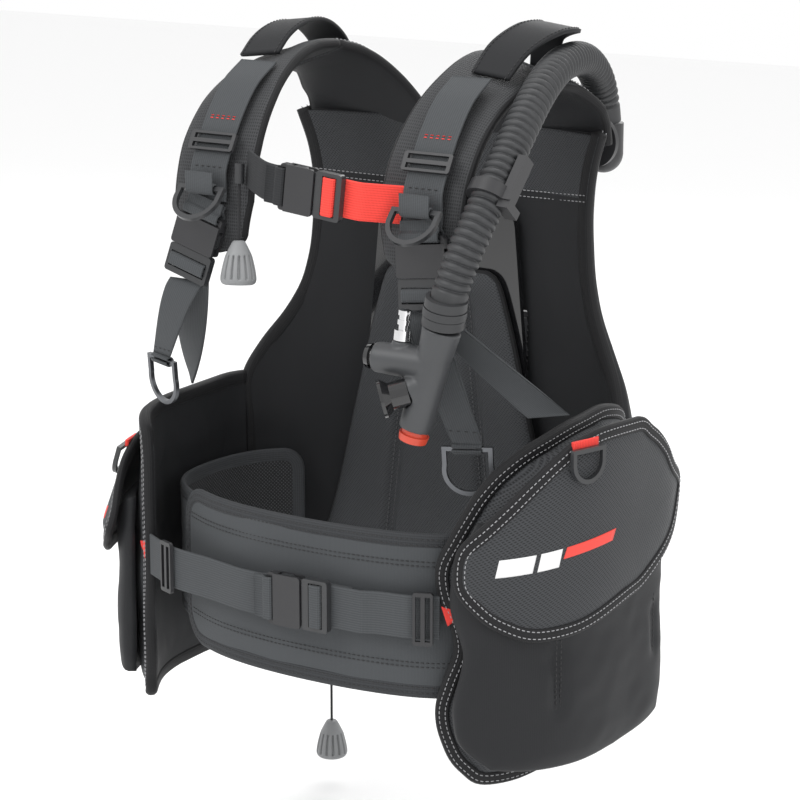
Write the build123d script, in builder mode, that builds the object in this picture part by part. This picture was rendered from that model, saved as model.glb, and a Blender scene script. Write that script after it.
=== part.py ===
"""Buoyancy compensator vest: jacket, harness, inflator and cylinder band, in millimetres.

The frame has its origin on the axis of the diving cylinder that the band clamps, at the band's mid height.
+X is the wearer's left, -Y is the wearer's front and +Z is up. The wearer stands inside the jacket's loop.
"""

import os
from math import atan2, copysign, cos, degrees, hypot, radians, sin

from build123d import *

os.makedirs("parts", exist_ok=True)

# Driving dimensions
CYLINDER_R = 92.0  # diving cylinder of 184 mm diameter
LOOP_HALF_WIDTH = 235.0  # inside of the jacket, across the wearer
LOOP_HALF_DEPTH = 143.0  # inside of the jacket, front to back
LOOP_CENTRE_Y = -243.0
LOOP_POWER = 3.2  # a superellipse: 2 is an ellipse, more is boxier
LOOP_TAPER = 0.14  # how much narrower the loop is at the front
WEB = 2.5  # webbing thickness
WEB_40 = 40.0  # waist and shoulder webbing width
WEB_CHEST = 34.0
BAND_WIDTH = 50.0
HEM_Z = -290.0
SEAM_ANGLE = 62.0  # where the back of the jacket meets the side lobes
GAP = 0.5  # between neighbouring soft pieces
PLAY = 0.4  # round a rod that a webbing fold holds
SIDES = (("left", 1), ("right", -1))  # the wearer's sides


def save(part, name):
    """Labels a finished part and writes it as its own STEP file."""
    part.label = name
    export_step(part, f"parts/{name}.step")


def loop_point(angle, offset=0.0):
    """A point of the jacket's inner loop, in plan. Angle 0 is the spine, 90 the wearer's left side.

    offset moves it outwards, away from the wearer.
    """

    def on_loop(a):
        s, c = sin(radians(a)), cos(radians(a))
        x = copysign(LOOP_HALF_WIDTH * abs(s) ** (2 / LOOP_POWER), s)
        x *= 1 - LOOP_TAPER * (1 - c) / 2
        y = copysign(LOOP_HALF_DEPTH * abs(c) ** (2 / LOOP_POWER), c)
        return x, LOOP_CENTRE_Y + y

    x, y = on_loop(angle)
    (x0, y0), (x1, y1) = on_loop(angle - 1.0), on_loop(angle + 1.0)
    length = hypot(x1 - x0, y1 - y0)
    return x - offset * (y1 - y0) / length, y + offset * (x1 - x0) / length


def steps(first, last, count):
    """count numbers from first to last, evenly spaced."""
    return [first + (last - first) * i / (count - 1) for i in range(count)]


def loop_sketch(z, angles, inner, outer):
    """A closed plan profile along the jacket's loop. inner and outer give the offsets at an angle."""
    near = [loop_point(a, inner(a)) for a in angles]
    far = [loop_point(a, outer(a)) for a in angles]
    with BuildSketch(Plane.XY.offset(z)) as sketch:
        with BuildLine():
            Spline(*near)
            Line(near[-1], far[-1])
            Spline(*reversed(far))
            Line(far[0], near[0])
        make_face()
    return sketch.sketch


def loop_solid(levels, count, inner, outer):
    """Lofts loop sketches. levels holds (z, first angle, last angle). inner and outer take (angle, level)."""
    with BuildPart() as solid:
        for i, (z, first, last) in enumerate(levels):
            add(
                loop_sketch(
                    z,
                    steps(first, last, count),
                    lambda a, i=i: inner(a, i),
                    lambda a, i=i: outer(a, i),
                )
            )
        loft(ruled=True)
    return solid.part


def station_plane(centre, along, across):
    """A plane square to along, with its x axis as near to across as it can be."""
    z_dir = Vector(*along).normalized()
    x_dir = Vector(*across)
    x_dir = (x_dir - z_dir * x_dir.dot(z_dir)).normalized()
    return Plane(origin=centre, x_dir=x_dir, z_dir=z_dir)


def ribbon(stations, thickness):
    """A flat band lofted through stations of (centre, across, width)."""
    centres = [Vector(*s[0]) for s in stations]
    with BuildPart() as band:
        for i, (centre, across, width) in enumerate(stations):
            along = centres[min(i + 1, len(centres) - 1)] - centres[max(i - 1, 0)]
            with BuildSketch(station_plane(centre, tuple(along), across)):
                Rectangle(width, thickness)
        loft()
    return band.part


def rod(start, end, radius, radius_end=None):
    """A round bar, or a cone, between two points."""
    start, end = Vector(*start), Vector(*end)
    with BuildPart() as bar:
        with BuildSketch(Plane(origin=start, z_dir=end - start)):
            Circle(radius)
        if radius_end is None:
            extrude(amount=(end - start).length)
        else:
            with BuildSketch(Plane(origin=end, z_dir=end - start)):
                Circle(radius_end)
            loft()
    return bar.part


def front_plane(x, y, z):
    """A plane that faces the wearer's front: its x axis is +X, and its normal is -Y."""
    return Plane(origin=(x, y, z), x_dir=(1, 0, 0), z_dir=(0, -1, 0))


# ---------------------------------------------------------------- jacket
# The back of the jacket: a fabric bladder with a thin middle, where the cylinder lies.
WINDOW_HALF_WIDTH = 84.0
WINDOW_HALF_HEIGHT = 78.0
BACK_LEVELS = (
    # z, half angle, edge thickness, cell thickness
    (HEM_Z, 60.0, 9.0, 9.0),
    (-262.0, 61.0, 22.0, 20.0),
    (-130.0, SEAM_ANGLE, 26.0, 22.0),
    (-6.0, SEAM_ANGLE, 24.0, 24.0),
    (54.0, 42.0, 20.0, 24.0),
    (110.0, 32.5, 16.0, 22.0),
    (190.0, 31.0, 16.0, 22.0),
    (258.0, 37.5, 11.0, 14.0),
)
THIN_ANGLE = 8.0  # the middle of the back stays thin up to here
CELL_ANGLE = 16.0  # and is full from here


def back_thickness(angle, level):
    """Thickness of the back: thin behind the spine, a full cell beside it, thinner at the sewn edge."""
    _, half, edge, cell = BACK_LEVELS[level]
    a = abs(angle)
    if a <= THIN_ANGLE:
        return 5.0
    if a <= CELL_ANGLE:
        return 5.0 + (cell - 5.0) * (a - THIN_ANGLE) / (CELL_ANGLE - THIN_ANGLE)
    return cell + (edge - cell) * ((a - CELL_ANGLE) / (half - CELL_ANGLE)) ** 2


back_loft = loop_solid(
    [(z, -half, half) for z, half, _, _ in BACK_LEVELS],
    15,
    lambda a, i: 0.0,
    back_thickness,
)
with BuildPart() as bladder_back:
    add(back_loft)
    with Locations((0, -95, 0)):
        Box(
            2 * WINDOW_HALF_WIDTH, 90, 2 * WINDOW_HALF_HEIGHT, mode=Mode.SUBTRACT
        )  # window for the backpack's spine and the band
save(bladder_back.part, "bladder_back")

# The side lobes wrap from the side seam round to the front edges, which the waist strap joins.
LOBE_FRONT = {
    "left": (
        (HEM_Z, 128.0),
        (-270.0, 138.0),
        (-225.0, 143.0),
        (-168.0, 136.5),
        (-118.0, 142.0),
        (-85.0, 142.0),
        (-45.0, 133.5),
        (-8.0, 121.0),
    ),
    "right": (
        (HEM_Z, 121.0),
        (-268.0, 125.0),
        (-225.0, 127.0),
        (-165.0, 129.0),
        (-100.0, 130.0),
        (-52.0, 130.5),
        (-22.0, 128.0),
    ),
}
LOBE_TOP = {"left": (24.0, 72.0, 104.0), "right": (-6.0, 70.0, 118.0)}
LOBE_EDGE = 7.0


def lobe_levels(side):
    """(z, first angle, last angle) of a lobe's sections, up to its own top corner."""
    first = SEAM_ANGLE + 0.3
    return [(z, first, last) for z, last in LOBE_FRONT[side]] + [LOBE_TOP[side]]


def slack(name, z):
    """How much closer to the loop the slacker right lobe and its pocket lie, most towards the top."""
    return 0.0 if name == "left" else 14.0 + 10.0 * min(1.0, max(0.0, (z + 120.0) / 80.0))


def lobe_fullness(name, angle, first, last, z):
    """How far the lobe's outer face stands off the loop: full at the side, thin at front edge and hem."""
    share = (angle - first) / (last - first)
    full = 26.0 + 9.0 * sin(radians(180 * min(share, 0.9))) - slack(name, z)
    front = max(0.0, (share - 0.72) / 0.28) ** 1.5
    hem = 0.3 if z <= HEM_Z else 1.0
    top = 0.45 if z > -7 else 1.0
    return LOBE_EDGE + (full - LOBE_EDGE) * (1 - front) * hem * top


def shell_levels(levels, side):
    """Mirrors the angles of the levels for the wearer's right side."""
    return [(z, side * first, side * last) for z, first, last in levels]


def lobe_offset(name, levels):
    """An offset function for loop_solid: the lobe's outer face."""

    def offset(angle, i):
        z, first, last = levels[i]
        return lobe_fullness(name, abs(angle), first, last, z)

    return offset


for name, side in SIDES:
    levels = lobe_levels(name)
    lobe = loop_solid(shell_levels(levels, side), 13, lambda a, i: 0.0, lobe_offset(name, levels))
    save(lobe, f"lobe_{name}")

# Cargo pockets on the outside of the lobes, and the flaps that cover their upper part.
POCKET_LEVELS = {
    "left": (
        (-272.0, 70.0, 126.0),
        (-240.0, 66.0, 137.0),
        (-165.0, 65.0, 135.0),
        (-100.0, 66.0, 139.0),
        (-45.0, 70.0, 130.0),
    ),
    "right": (
        (-272.0, 70.0, 116.0),
        (-240.0, 66.0, 121.0),
        (-165.0, 65.0, 122.0),
        (-125.0, 66.0, 123.0),
        (-92.0, 70.0, 121.0),
    ),
}
FLAP_LEVELS = {
    "left": (
        (-146.0, 108.0, 120.0),
        (-120.0, 86.0, 131.0),
        (-83.0, 70.0, 137.0),
        (-47.0, 66.0, 131.0),
        (-10.0, 69.0, 121.0),
        (14.0, 78.0, 112.0),
        (31.0, 90.0, 99.0),
    ),
    "right": (
        (-150.0, 106.0, 114.0),
        (-134.0, 86.0, 121.0),
        (-111.0, 70.0, 124.0),
        (-89.0, 66.0, 122.0),
        (-66.0, 69.0, 116.0),
        (-51.0, 78.0, 108.0),
        (-40.0, 90.0, 97.0),
    ),
}
POCKET_DEPTH = 13.0
FLAP_THICKNESS = 4.5
FLAP_GAP = 6.0
POCKET_SEAT = 37.0  # how far out the full lobe carries the pocket


def edge_draw(angle):
    """How much the outer layers are drawn in towards the lobe's front edge."""
    return 20.0 * max(0.0, (abs(angle) - 112.0) / 38.0) ** 1.6


def pocket_base(name, angle, z):
    """The face that the pocket is sewn to: just off the lobe's full face."""
    return POCKET_SEAT - edge_draw(angle) - slack(name, z)


def pocket_face(name, angle, i):
    """The pocket's outer face, fullest in its middle."""
    z, first, last = POCKET_LEVELS[name][i]
    share = (abs(angle) - first) / (last - first)
    lid = {0: 0.4, len(POCKET_LEVELS[name]) - 1: 0.5}.get(i, 1.0)
    bulge = 3.0 + (POCKET_DEPTH - 3.0) * lid * sin(radians(180 * share)) ** 0.6
    return pocket_base(name, angle, z) + bulge


def flap_base(name, angle, z):
    """The flap's inner face: over the full pocket on the left, sloping up to the slack lobe on the right."""
    if name == "left":
        return POCKET_SEAT + POCKET_DEPTH + FLAP_GAP - edge_draw(angle)
    return 42.0 - 24.0 * min(1.0, max(0.0, (z + 120.0) / 80.0)) - edge_draw(angle)


flaps = {}
for name, side in SIDES:
    pocket = loop_solid(
        shell_levels(POCKET_LEVELS[name], side),
        11,
        lambda a, i: pocket_base(name, a, POCKET_LEVELS[name][i][0]),
        lambda a, i: pocket_face(name, a, i),
    )
    save(pocket, f"pocket_{name}")
    flaps[name] = loop_solid(
        shell_levels(FLAP_LEVELS[name], side),
        9,
        lambda a, i: flap_base(name, a, FLAP_LEVELS[name][i][0]),
        lambda a, i: flap_base(name, a, FLAP_LEVELS[name][i][0]) + FLAP_THICKNESS,
    )

# ---------------------------------------------------------------- shoulders
PAD_THICKNESS = 12.0
PAD_STATIONS = (
    # x, y, z, width, tilt: the outer edge lies lower by the tilt
    (110, -334, 156, 40, 0),
    (111, -336, 172, 70, 0),
    (112, -334, 205, 84, 0),
    (113, -320, 250, 84, 2),
    (115, -290, 287, 80, 7),
    (117, -250, 311, 74, 14),
    (117, -205, 322, 72, 19),
    (117, -171, 320, 72, 20),
)
YOKE_THICKNESS = 12.0
YOKE_STATIONS = (
    (117, -169, 319, 72, 20),
    (114, -136, 309, 88, 13),
    (108, -109, 285, 120, 5),
    (100, -98, 265, 132, 0),
)


def tilted(x, y, z, width, tilt, side):
    """A ribbon station on the wearer's side, with its outer edge lowered."""
    across = (cos(radians(tilt)), 0, -side * sin(radians(tilt)))
    return ((side * x, y, z), across, width)


yokes = []
for name, side in SIDES:
    pad = ribbon([tilted(*s, side) for s in PAD_STATIONS], PAD_THICKNESS)
    save(pad, f"shoulder_pad_{name}")
    yokes.append(ribbon([tilted(*s, side) for s in YOKE_STATIONS], YOKE_THICKNESS))
save(yokes[0] + yokes[1], "shoulder_yokes")

# Carrying handles: padded arches over the shoulders. The left one also holds the inflator hose down.
HANDLE_THICKNESS = 4.0
HANDLES = (
    # wearer's left, over the hose
    (
        (126, -244, 322, 38),
        (134, -226, 344, 42),
        (146, -192, 360, 46),
        (147, -157, 359, 44),
        (122, -134, 346, 32),
        (112, -124, 317, 28),
    ),
    # wearer's right
    (
        (-124, -244, 326, 44),
        (-124, -226, 340, 44),
        (-124, -192, 351, 44),
        (-124, -157, 347, 44),
        (-122, -134, 330, 44),
        (-120, -124, 313, 44),
    ),
)
arches = [
    ribbon([((x, y, z), (1, 0, -copysign(0.12, x)), width) for x, y, z, width in path], HANDLE_THICKNESS)
    for path in HANDLES
]
save(arches[0] + arches[1], "shoulder_handles")

# ---------------------------------------------------------------- backpack
SHELL_FRONT_Y = -113.0
SHELL_THICKNESS = 6.0
PAD_DEPTH = 18.0


def trapezoid(z_low, half_low, z_high, half_high, radius, y):
    """A sketch, seen from the front, of an upright trapezoid with rounded corners."""
    with BuildSketch(front_plane(0, y, 0)) as sketch:
        Polygon(
            (-half_low, z_low),
            (half_low, z_low),
            (half_high, z_high),
            (-half_high, z_high),
            align=None,
        )
        fillet(sketch.vertices(), radius)
    return sketch.sketch


with BuildPart() as back_pad:
    extrude(trapezoid(-195, 142, 116, 62, 26, SHELL_FRONT_Y - GAP), amount=PAD_DEPTH)
save(back_pad.part, "back_pad")

SPINE_HALF_WIDTH = 55.0
SPINE_HALF_HEIGHT = 72.0
SLOT_DEPTH = 4.0
with BuildPart() as backpack_shell:
    extrude(
        trapezoid(-225, 112, 188, 74, 30, SHELL_FRONT_Y + SHELL_THICKNESS),
        amount=SHELL_THICKNESS,
    )
    with BuildSketch(front_plane(0, SHELL_FRONT_Y + SHELL_THICKNESS, 156)):
        SlotOverall(86, 28)
    extrude(amount=SHELL_THICKNESS, mode=Mode.SUBTRACT)
    # the spine block behind the plate, hollowed to the cylinder's curve, with the band's slot through it
    with Locations((0, (SHELL_FRONT_Y + SHELL_THICKNESS - 80) / 2, 0)):
        Box(2 * SPINE_HALF_WIDTH, 27, 2 * SPINE_HALF_HEIGHT)
    Cylinder(CYLINDER_R, 500, mode=Mode.SUBTRACT)
    with Locations((0, SHELL_FRONT_Y + SHELL_THICKNESS + 2.0, 0)):
        Box(300, SLOT_DEPTH, BAND_WIDTH + 3, mode=Mode.SUBTRACT)
save(backpack_shell.part, "backpack_shell")

SCREW_X, SCREW_Z = 48.0, 120.0
with BuildPart() as pack_screws:
    for sx, sz in ((1, 1), (-1, 1), (1, -1), (-1, -1)):
        with BuildSketch(front_plane(sx * SCREW_X, -92.0, sz * SCREW_Z)):
            Circle(7)
        extrude(amount=2.6)
save(pack_screws.part, "pack_screws")

# ---------------------------------------------------------------- cylinder band and cam buckle
BAND_EXIT = (61.0, -103.8)  # where the band leaves the spine's slot
band_far = hypot(*BAND_EXIT)
tangent_angle = degrees(atan2(BAND_EXIT[1], BAND_EXIT[0])) + degrees(
    atan2((band_far**2 - CYLINDER_R**2) ** 0.5, CYLINDER_R)
)
with BuildPart() as cylinder_band:
    with BuildSketch(Plane.XY.offset(-BAND_WIDTH / 2)):
        with BuildLine() as band_line:
            start = (
                CYLINDER_R * cos(radians(tangent_angle)),
                CYLINDER_R * sin(radians(tangent_angle)),
            )
            end = (-start[0], start[1])
            ThreePointArc(start, (0, CYLINDER_R), end)
            Line(end, (-BAND_EXIT[0], BAND_EXIT[1]))
            Line((-BAND_EXIT[0], BAND_EXIT[1]), BAND_EXIT)
            Line(BAND_EXIT, start)
        make_face()
        offset(amount=WEB)
        with BuildLine():
            ThreePointArc(start, (0, CYLINDER_R), end)
            Line(end, (-BAND_EXIT[0], BAND_EXIT[1]))
            Line((-BAND_EXIT[0], BAND_EXIT[1]), BAND_EXIT)
            Line(BAND_EXIT, start)
        make_face(mode=Mode.SUBTRACT)
    extrude(amount=BAND_WIDTH)
save(cylinder_band.part, "cylinder_band")

# The cam buckle sits on the band behind the cylinder. Its lever folds flat over the frame, on an upright pin.
CAM_Y = CYLINDER_R + WEB + 0.4
CAM_PIN = (-30.0, CAM_Y + 9.0)
with BuildPart() as cam_frame:
    with Locations((0, CAM_Y + 2.0, 0)):
        Box(76, 4, 60)
    with Locations((CAM_PIN[0], CAM_Y + 8, 28), (CAM_PIN[0], CAM_Y + 8, -28)):
        Box(16, 16, 4)
    with Locations((18, CAM_Y + 2.0, 0)):
        Box(8, 10, 44, mode=Mode.SUBTRACT)
    Cylinder(CYLINDER_R + WEB + 0.2, 100, mode=Mode.SUBTRACT)
    with Locations(Location((*CAM_PIN, 0))):
        Cylinder(2.5, 60)  # the lever's pin
save(cam_frame.part, "cam_frame")

with BuildPart() as cam_lever:
    with BuildSketch(Plane.XY.offset(-25)):
        with Locations(CAM_PIN):
            Circle(4.6)
        with Locations((CAM_PIN[0] + 36.5, CAM_PIN[1] + 3.4)):
            RectangleRounded(72, 5.2, 2.4)
        with Locations(CAM_PIN):
            Circle(2.56, mode=Mode.SUBTRACT)
    extrude(amount=50)
save(cam_lever.part, "cam_lever")

# ---------------------------------------------------------------- cummerbund and waist strap


def flat_band(path, thickness, z_low, z_high):
    """An upright band whose plan is a spline through path."""
    with BuildPart() as band:
        with BuildSketch(Plane.XY.offset(z_low)):
            with BuildLine() as line:
                Spline(*path)
            trace(line.line, thickness)
        extrude(amount=z_high - z_low)
    return band.part


CUMMERBUND_LEFT = ((150, -142), (180, -172), (196, -232), (190, -300), (160, -352))
CUMMERBUND_LEFT += ((100, -377), (30, -384), (-40, -381), (-95, -368), (-142, -344))
CUMMERBUND_RIGHT = ((-150, -142), (-180, -172), (-196, -232), (-186, -292), (-150, -327), (-100, -350))
CUMMERBUND_THICKNESS = 5.0
CUMMERBUND_Z = (-218.0, -68.0)
with BuildPart() as cummerbund_left:
    add(flat_band(CUMMERBUND_LEFT, CUMMERBUND_THICKNESS, *CUMMERBUND_Z))
    with BuildSketch(front_plane(-10, -200, (CUMMERBUND_Z[0] + CUMMERBUND_Z[1]) / 2)):
        RectangleRounded(290 + 130, 150, 34)
    extrude(amount=300, mode=Mode.INTERSECT)
save(cummerbund_left.part, "cummerbund_left")
save(flat_band(CUMMERBUND_RIGHT, CUMMERBUND_THICKNESS, -206, -82), "cummerbund_right")


def female_buckle(width, plane):
    """Receiving half of a side-release buckle: its mouth faces the plane's +x, its webbing bar lies at -x."""
    half = width / 2
    with BuildPart() as body:
        with Locations((-14, 0, 5.5)):
            Box(36, width + 8, 11)
        fillet(body.edges().filter_by(Axis.Z), 3)
        with Locations((-30.5, 0, 10), (-30.5, 0, 1)):
            Box(11.4, width + 8.2, 3, mode=Mode.SUBTRACT)
        with Locations((-27.4, 0, 5.5)):
            Box(4.6, width + 1.2, 12, mode=Mode.SUBTRACT)
        with Locations((-7.0, half + 2, 5.5), (-7.0, -half - 2, 5.5)):
            Box(28, 18, 6, mode=Mode.SUBTRACT)
        with Locations((-3.0, 0, 5.5)):
            Box(18, 8.6, 5, mode=Mode.SUBTRACT)
    return plane.location * body.part


def male_buckle(width, plane, slots=(14.3, 24.3)):
    """Plug half, with a ladder of slots for the webbing and the guide tongue. It faces -x of the plane."""
    with BuildPart() as body:
        with Locations((18.4, 0, 5.5)):
            Box(27, width + 8, 7)
        fillet(body.edges().filter_by(Axis.Z), 3)
        with Locations(*[(x, 0, 5.5) for x in slots]):
            Box(4.6, width + 1.2, 8, mode=Mode.SUBTRACT)
        with Locations((-3.2, 0, 5.5)):
            Box(17, 7.4, 4)
    return plane.location * body.part


def prong(width, plane, sign):
    """One sprung arm of the plug half, with the finger pad that the buckle's side window shows."""
    half = width / 2
    with BuildPart() as arm:
        with BuildSketch(Plane.XY.offset(3.2)):
            Polygon(
                (4.2, half - 4.2),
                (4.2, half + 1.2),
                (-3, half + 1.2),
                (-7, half + 3.9),
                (-17.6, half + 3.9),
                (-20.2, half + 0.4),
                (-20.2, half - 1.4),
                (-8, half - 2.4),
                align=None,
            )
        extrude(amount=4.6)
    part = arm.part
    if sign < 0:
        part = part.mirror(Plane.XZ)
    return plane.location * part


def slide(width, plane, along=18.0):
    """A three-bar slide, in the plane, with its bars across the webbing."""
    with BuildPart() as body:
        with Locations((0, 0, 3.4)):
            Box(along, width + 9, 3.6)
        fillet(body.edges().filter_by(Axis.Z), 2.5)
        with Locations((-along / 4 + 0.2, 0, 3.4), (along / 4 - 0.2, 0, 3.4)):
            Box(along / 2 - 4.2, width + 1.2, 5, mode=Mode.SUBTRACT)
    return plane.location * body.part


# waist strap: from each lobe's front edge to the buckle, in front of the cummerbund
WAIST_Z = -139.0
WAIST_BUCKLE = (26.0, -398.0)
waist_plane = Plane(origin=(*WAIST_BUCKLE, WAIST_Z), x_dir=(1, 0.02, 0), z_dir=(0.02, -1, 0))
save(female_buckle(WEB_40, waist_plane), "waist_buckle_female")
save(male_buckle(WEB_40, waist_plane), "waist_buckle_male")
save(prong(WEB_40, waist_plane, 1), "waist_prong_upper")
save(prong(WEB_40, waist_plane, -1), "waist_prong_lower")


def strap_run(plane, own, far, width):
    """A webbing drawn edge on in the plane's (x, z) axes: own is its path at a buckle, far a spline on."""
    with BuildPart() as strap:
        with BuildSketch(Plane(origin=plane.origin, x_dir=plane.x_dir, z_dir=-plane.y_dir)):
            with BuildLine() as line:
                near = Polyline(*own)
                if far:
                    last = Vector(*far[-1]) - Vector(*(far[-2] if len(far) > 1 else own[-1]))
                    Spline(near @ 1, *far, tangents=[near % 1, last])
            trace(line.line, WEB)
        extrude(amount=width / 2, both=True)
    return strap.part


def in_plane(plane, points):
    """World points as (x, z) pairs of the plane."""
    pairs = []
    for point in points:
        v = Vector(*point) - plane.origin
        pairs.append((v.dot(plane.x_dir), v.dot(plane.z_dir)))
    return pairs


FOLD_END = ((-46, 8.2), (-36, 8.2), (-34.3, 11.4), (-27.4, 11.4), (-27.4, 0), (-34.3, 0), (-38, 4.4))
LADDER_END = ((52, -3.0), (14.3, -3.0), (14.3, 10.8), (24.3, 10.8), (24.3, 0.2), (40, 0.2))
WAIST_RIGHT = ((-80, -392), (-135, -381), (-174, -361))
WAIST_LEFT = ((96, -393), (134, -384), (156.2, -373.8))
for name, own, far in (
    ("right", (*FOLD_END, (-60, 3)), WAIST_RIGHT),
    ("left", (*LADDER_END, (62, 0.2)), WAIST_LEFT),
):
    points = in_plane(waist_plane, [(x, y, WAIST_Z) for x, y in far])
    save(strap_run(waist_plane, own, points, WEB_40), f"waist_webbing_{name}")

# slides that hold the doubled waist strap near the lobes
slides = [
    slide(WEB_40, Plane(origin=(-136, -381.2, WAIST_Z), x_dir=(-0.93, 0.37, 0), z_dir=(-0.37, -0.93, 0))),
    slide(WEB_40, Plane(origin=(144, -381.4, WAIST_Z), x_dir=(0.92, 0.39, 0), z_dir=(0.39, -0.92, 0))),
]

# ---------------------------------------------------------------- shoulder straps, per side
# Side view of the pad front: the webbing, slide, D-ring, buckle and lower webbing lie along it.
WEB_X = {"left": 119.0, "right": -111.0}
LEAN = {"left": 0.12, "right": -0.28}  # how the straps lean outwards below the rings
PAD_FACE = 6.0
SHOULDER_PATH = ((-343.6, 232), (-333.8, 252.3), (-317.4, 278.7), (-293, 305.4), (-263.5, 322))
BUCKLE_ORIGIN = (-346.0, 162.0)
RING_Z = 216.0


def shoulder_plane(name):
    """Where the shoulder buckle sits: its x axis runs down the strap."""
    lean = LEAN[name]
    x = WEB_X[name] + 40 * lean
    return Plane(origin=(x, *BUCKLE_ORIGIN), x_dir=(lean, -0.12, -1), z_dir=(0, -1, 0.12))


def d_ring(half_width, drop, wire, depth, plane):
    """A flat D-ring that hangs down the plane's x axis from a straight bar at its origin."""
    with BuildPart() as ring:
        with BuildSketch(Plane.XY.offset(-depth / 2)):
            with BuildLine():
                Polyline(
                    (drop * 0.35, -half_width),
                    (-wire / 2, -half_width),
                    (-wire / 2, half_width),
                    (drop * 0.35, half_width),
                )
                ThreePointArc((drop * 0.35, half_width), (drop, 0), (drop * 0.35, -half_width))
            make_face()
            offset(amount=-wire, mode=Mode.SUBTRACT)
        extrude(amount=depth)
    return plane.location * ring.part


def ring_tab(width, reach, wire, plane):
    """The webbing fold that holds a D-ring's bar. The plane's x runs along its flat end, z off the strap."""
    inner = 0.71 * wire + PLAY
    with BuildPart() as tab:
        with BuildSketch(Plane(origin=(0, -width / 2, 0), x_dir=(1, 0, 0), z_dir=(0, 1, 0))):
            Circle(inner + 1.8)
            with Locations((-reach / 2, inner + 0.9)):
                Rectangle(reach, 1.8)
            Circle(inner, mode=Mode.SUBTRACT)
        extrude(amount=width)
    return plane.location * tab.part


RING_WIRE = 4.4
RING_HANG = 42.0  # how far the shoulder rings stand off the strap, in degrees
LOWER_END = {"left": (216.0, -290.0, 34.0), "right": (-214.0, -240.0, 2.0)}
TAIL_END = {"left": (152.0, -322.0, 8.0), "right": (-182.0, -327.0, 48.0)}
webbings, females, males, prongs, lowers, tails = [], [], [], [], [], []
for name, side in SIDES:
    plane = shoulder_plane(name)
    # up the pad the webbing lies straight; in the buckle's plane it leans
    upright = Plane(origin=(WEB_X[name], *BUCKLE_ORIGIN), x_dir=(0, -0.12, -1), z_dir=(0, -1, 0.12))
    path = in_plane(upright, [(WEB_X[name], y, z) for y, z in SHOULDER_PATH])
    lie = strap_run(upright, ((-42, 3.4), (-46, 3.4)), path, WEB_40)
    bar = Plane(origin=(WEB_X[name], -354.4, RING_Z), x_dir=(0, 0, -1), z_dir=(0, -1, 0))
    turn = radians(RING_HANG)
    hang = Plane(origin=bar.origin, x_dir=(0, -sin(turn), -cos(turn)), z_dir=(0, -cos(turn), sin(turn)))
    loops = strap_run(plane, (*FOLD_END, (-44, 3.4)), (), WEB_40)
    webbings.append(lie + loops + ring_tab(30, 16, RING_WIRE, bar))
    females.append(female_buckle(WEB_40, plane))
    males.append(male_buckle(WEB_40, plane))
    prongs += [prong(WEB_40, plane, 1), prong(WEB_40, plane, -1)]
    over_pad = Plane(
        origin=(WEB_X[name], -333.4, 255.0), x_dir=(0, -0.51, -0.86), z_dir=(0, -0.86, 0.51)
    )
    slides.append(slide(WEB_40, over_pad))
    save(d_ring(25, 34, RING_WIRE, RING_WIRE, hang), f"shoulder_ring_{name}")

    # below the buckle the strap runs on to the lobe, and its loose tail hangs in front with a ring
    own = ((33.5, -3.4), (14.3, -3.4), (14.3, 10.8), (24.3, 10.8), (24.3, 0.4), (33.5, 0.4))
    fold = strap_run(plane, own, (), WEB_40)
    behind = plane.origin + plane.x_dir * 36 + plane.z_dir * -5.2
    front = plane.origin + plane.x_dir * 34 + plane.z_dir * 0.6
    lower, tail = [], []
    for share in steps(0, 1, 6):
        turn = radians(50 * share**2)
        at = behind * (1 - share) + Vector(*LOWER_END[name]) * share
        lower.append((tuple(at), (side * cos(turn), sin(turn), 0), WEB_40 - 1))
        bulge = 7 * sin(radians(180 * share**0.6))
        at = front * (1 - share) + Vector(*TAIL_END[name]) * share - Vector(0, bulge, 0)
        turn = radians(20 * share)
        tail.append((tuple(at), (side * cos(turn), sin(turn), 0), WEB_40 - 12 * share))
    lowers.append(ribbon(lower, WEB))
    end = Vector(*TAIL_END[name])
    tail_bar = Plane(
        origin=end - Vector(0, 0, 5.0), x_dir=(0, 0.1, -1), z_dir=(side * 0.34, -0.94, -0.094)
    )
    reach = tail_bar.y_dir * 30
    bore = rod(tail_bar.origin - reach, tail_bar.origin + reach, 0.71 * 4.0 + PLAY)
    tails.append(fold + ribbon(tail, WEB) + ring_tab(27, 1.0, 4.0, tail_bar) - bore)
    save(d_ring(23, 44, 4.0, 4.0, tail_bar), f"tail_ring_{name}")
for group, label in (
    (webbings, "shoulder_webbings"),
    (females, "shoulder_buckles_female"),
    (males, "shoulder_buckles_male"),
    (prongs, "shoulder_prongs"),
    (slides, "strap_slides"),
    (lowers, "lower_webbings"),
    (tails, "tail_webbings"),
):
    save(sum(group[1:], group[0]), label)

# ---------------------------------------------------------------- chest strap
chest_plane = Plane(origin=(21, -366, 227), x_dir=(1, 0.03, -0.11), z_dir=(0.03, -1, 0))
save(female_buckle(WEB_CHEST, chest_plane), "chest_buckle_female")
save(male_buckle(WEB_CHEST, chest_plane), "chest_buckle_male")
save(prong(WEB_CHEST, chest_plane, 1), "chest_prong_upper")
save(prong(WEB_CHEST, chest_plane, -1), "chest_prong_lower")
CHEST_RUNS = (
    ("right", (*FOLD_END, (-46, 3.4)), ((-68, -10), (-90.5, -29))),
    ("left", (*LADDER_END[1:], (44, 0)), ((58, -8), (76.6, -21.5))),
)
for name, own, far in CHEST_RUNS:
    save(strap_run(chest_plane, own, far, WEB_CHEST), f"chest_webbing_{name}")

# ---------------------------------------------------------------- inflator
HOSE_R = 16.0
HOSE = ((143, -62, 262), (143.5, -71, 292), (149, -106, 321), (158, -150, 330), (167, -197, 327))
HOSE += ((176, -250, 307), (180, -306, 261), (176, -350, 208), (166, -371, 160), (158, -374, 124))


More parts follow.
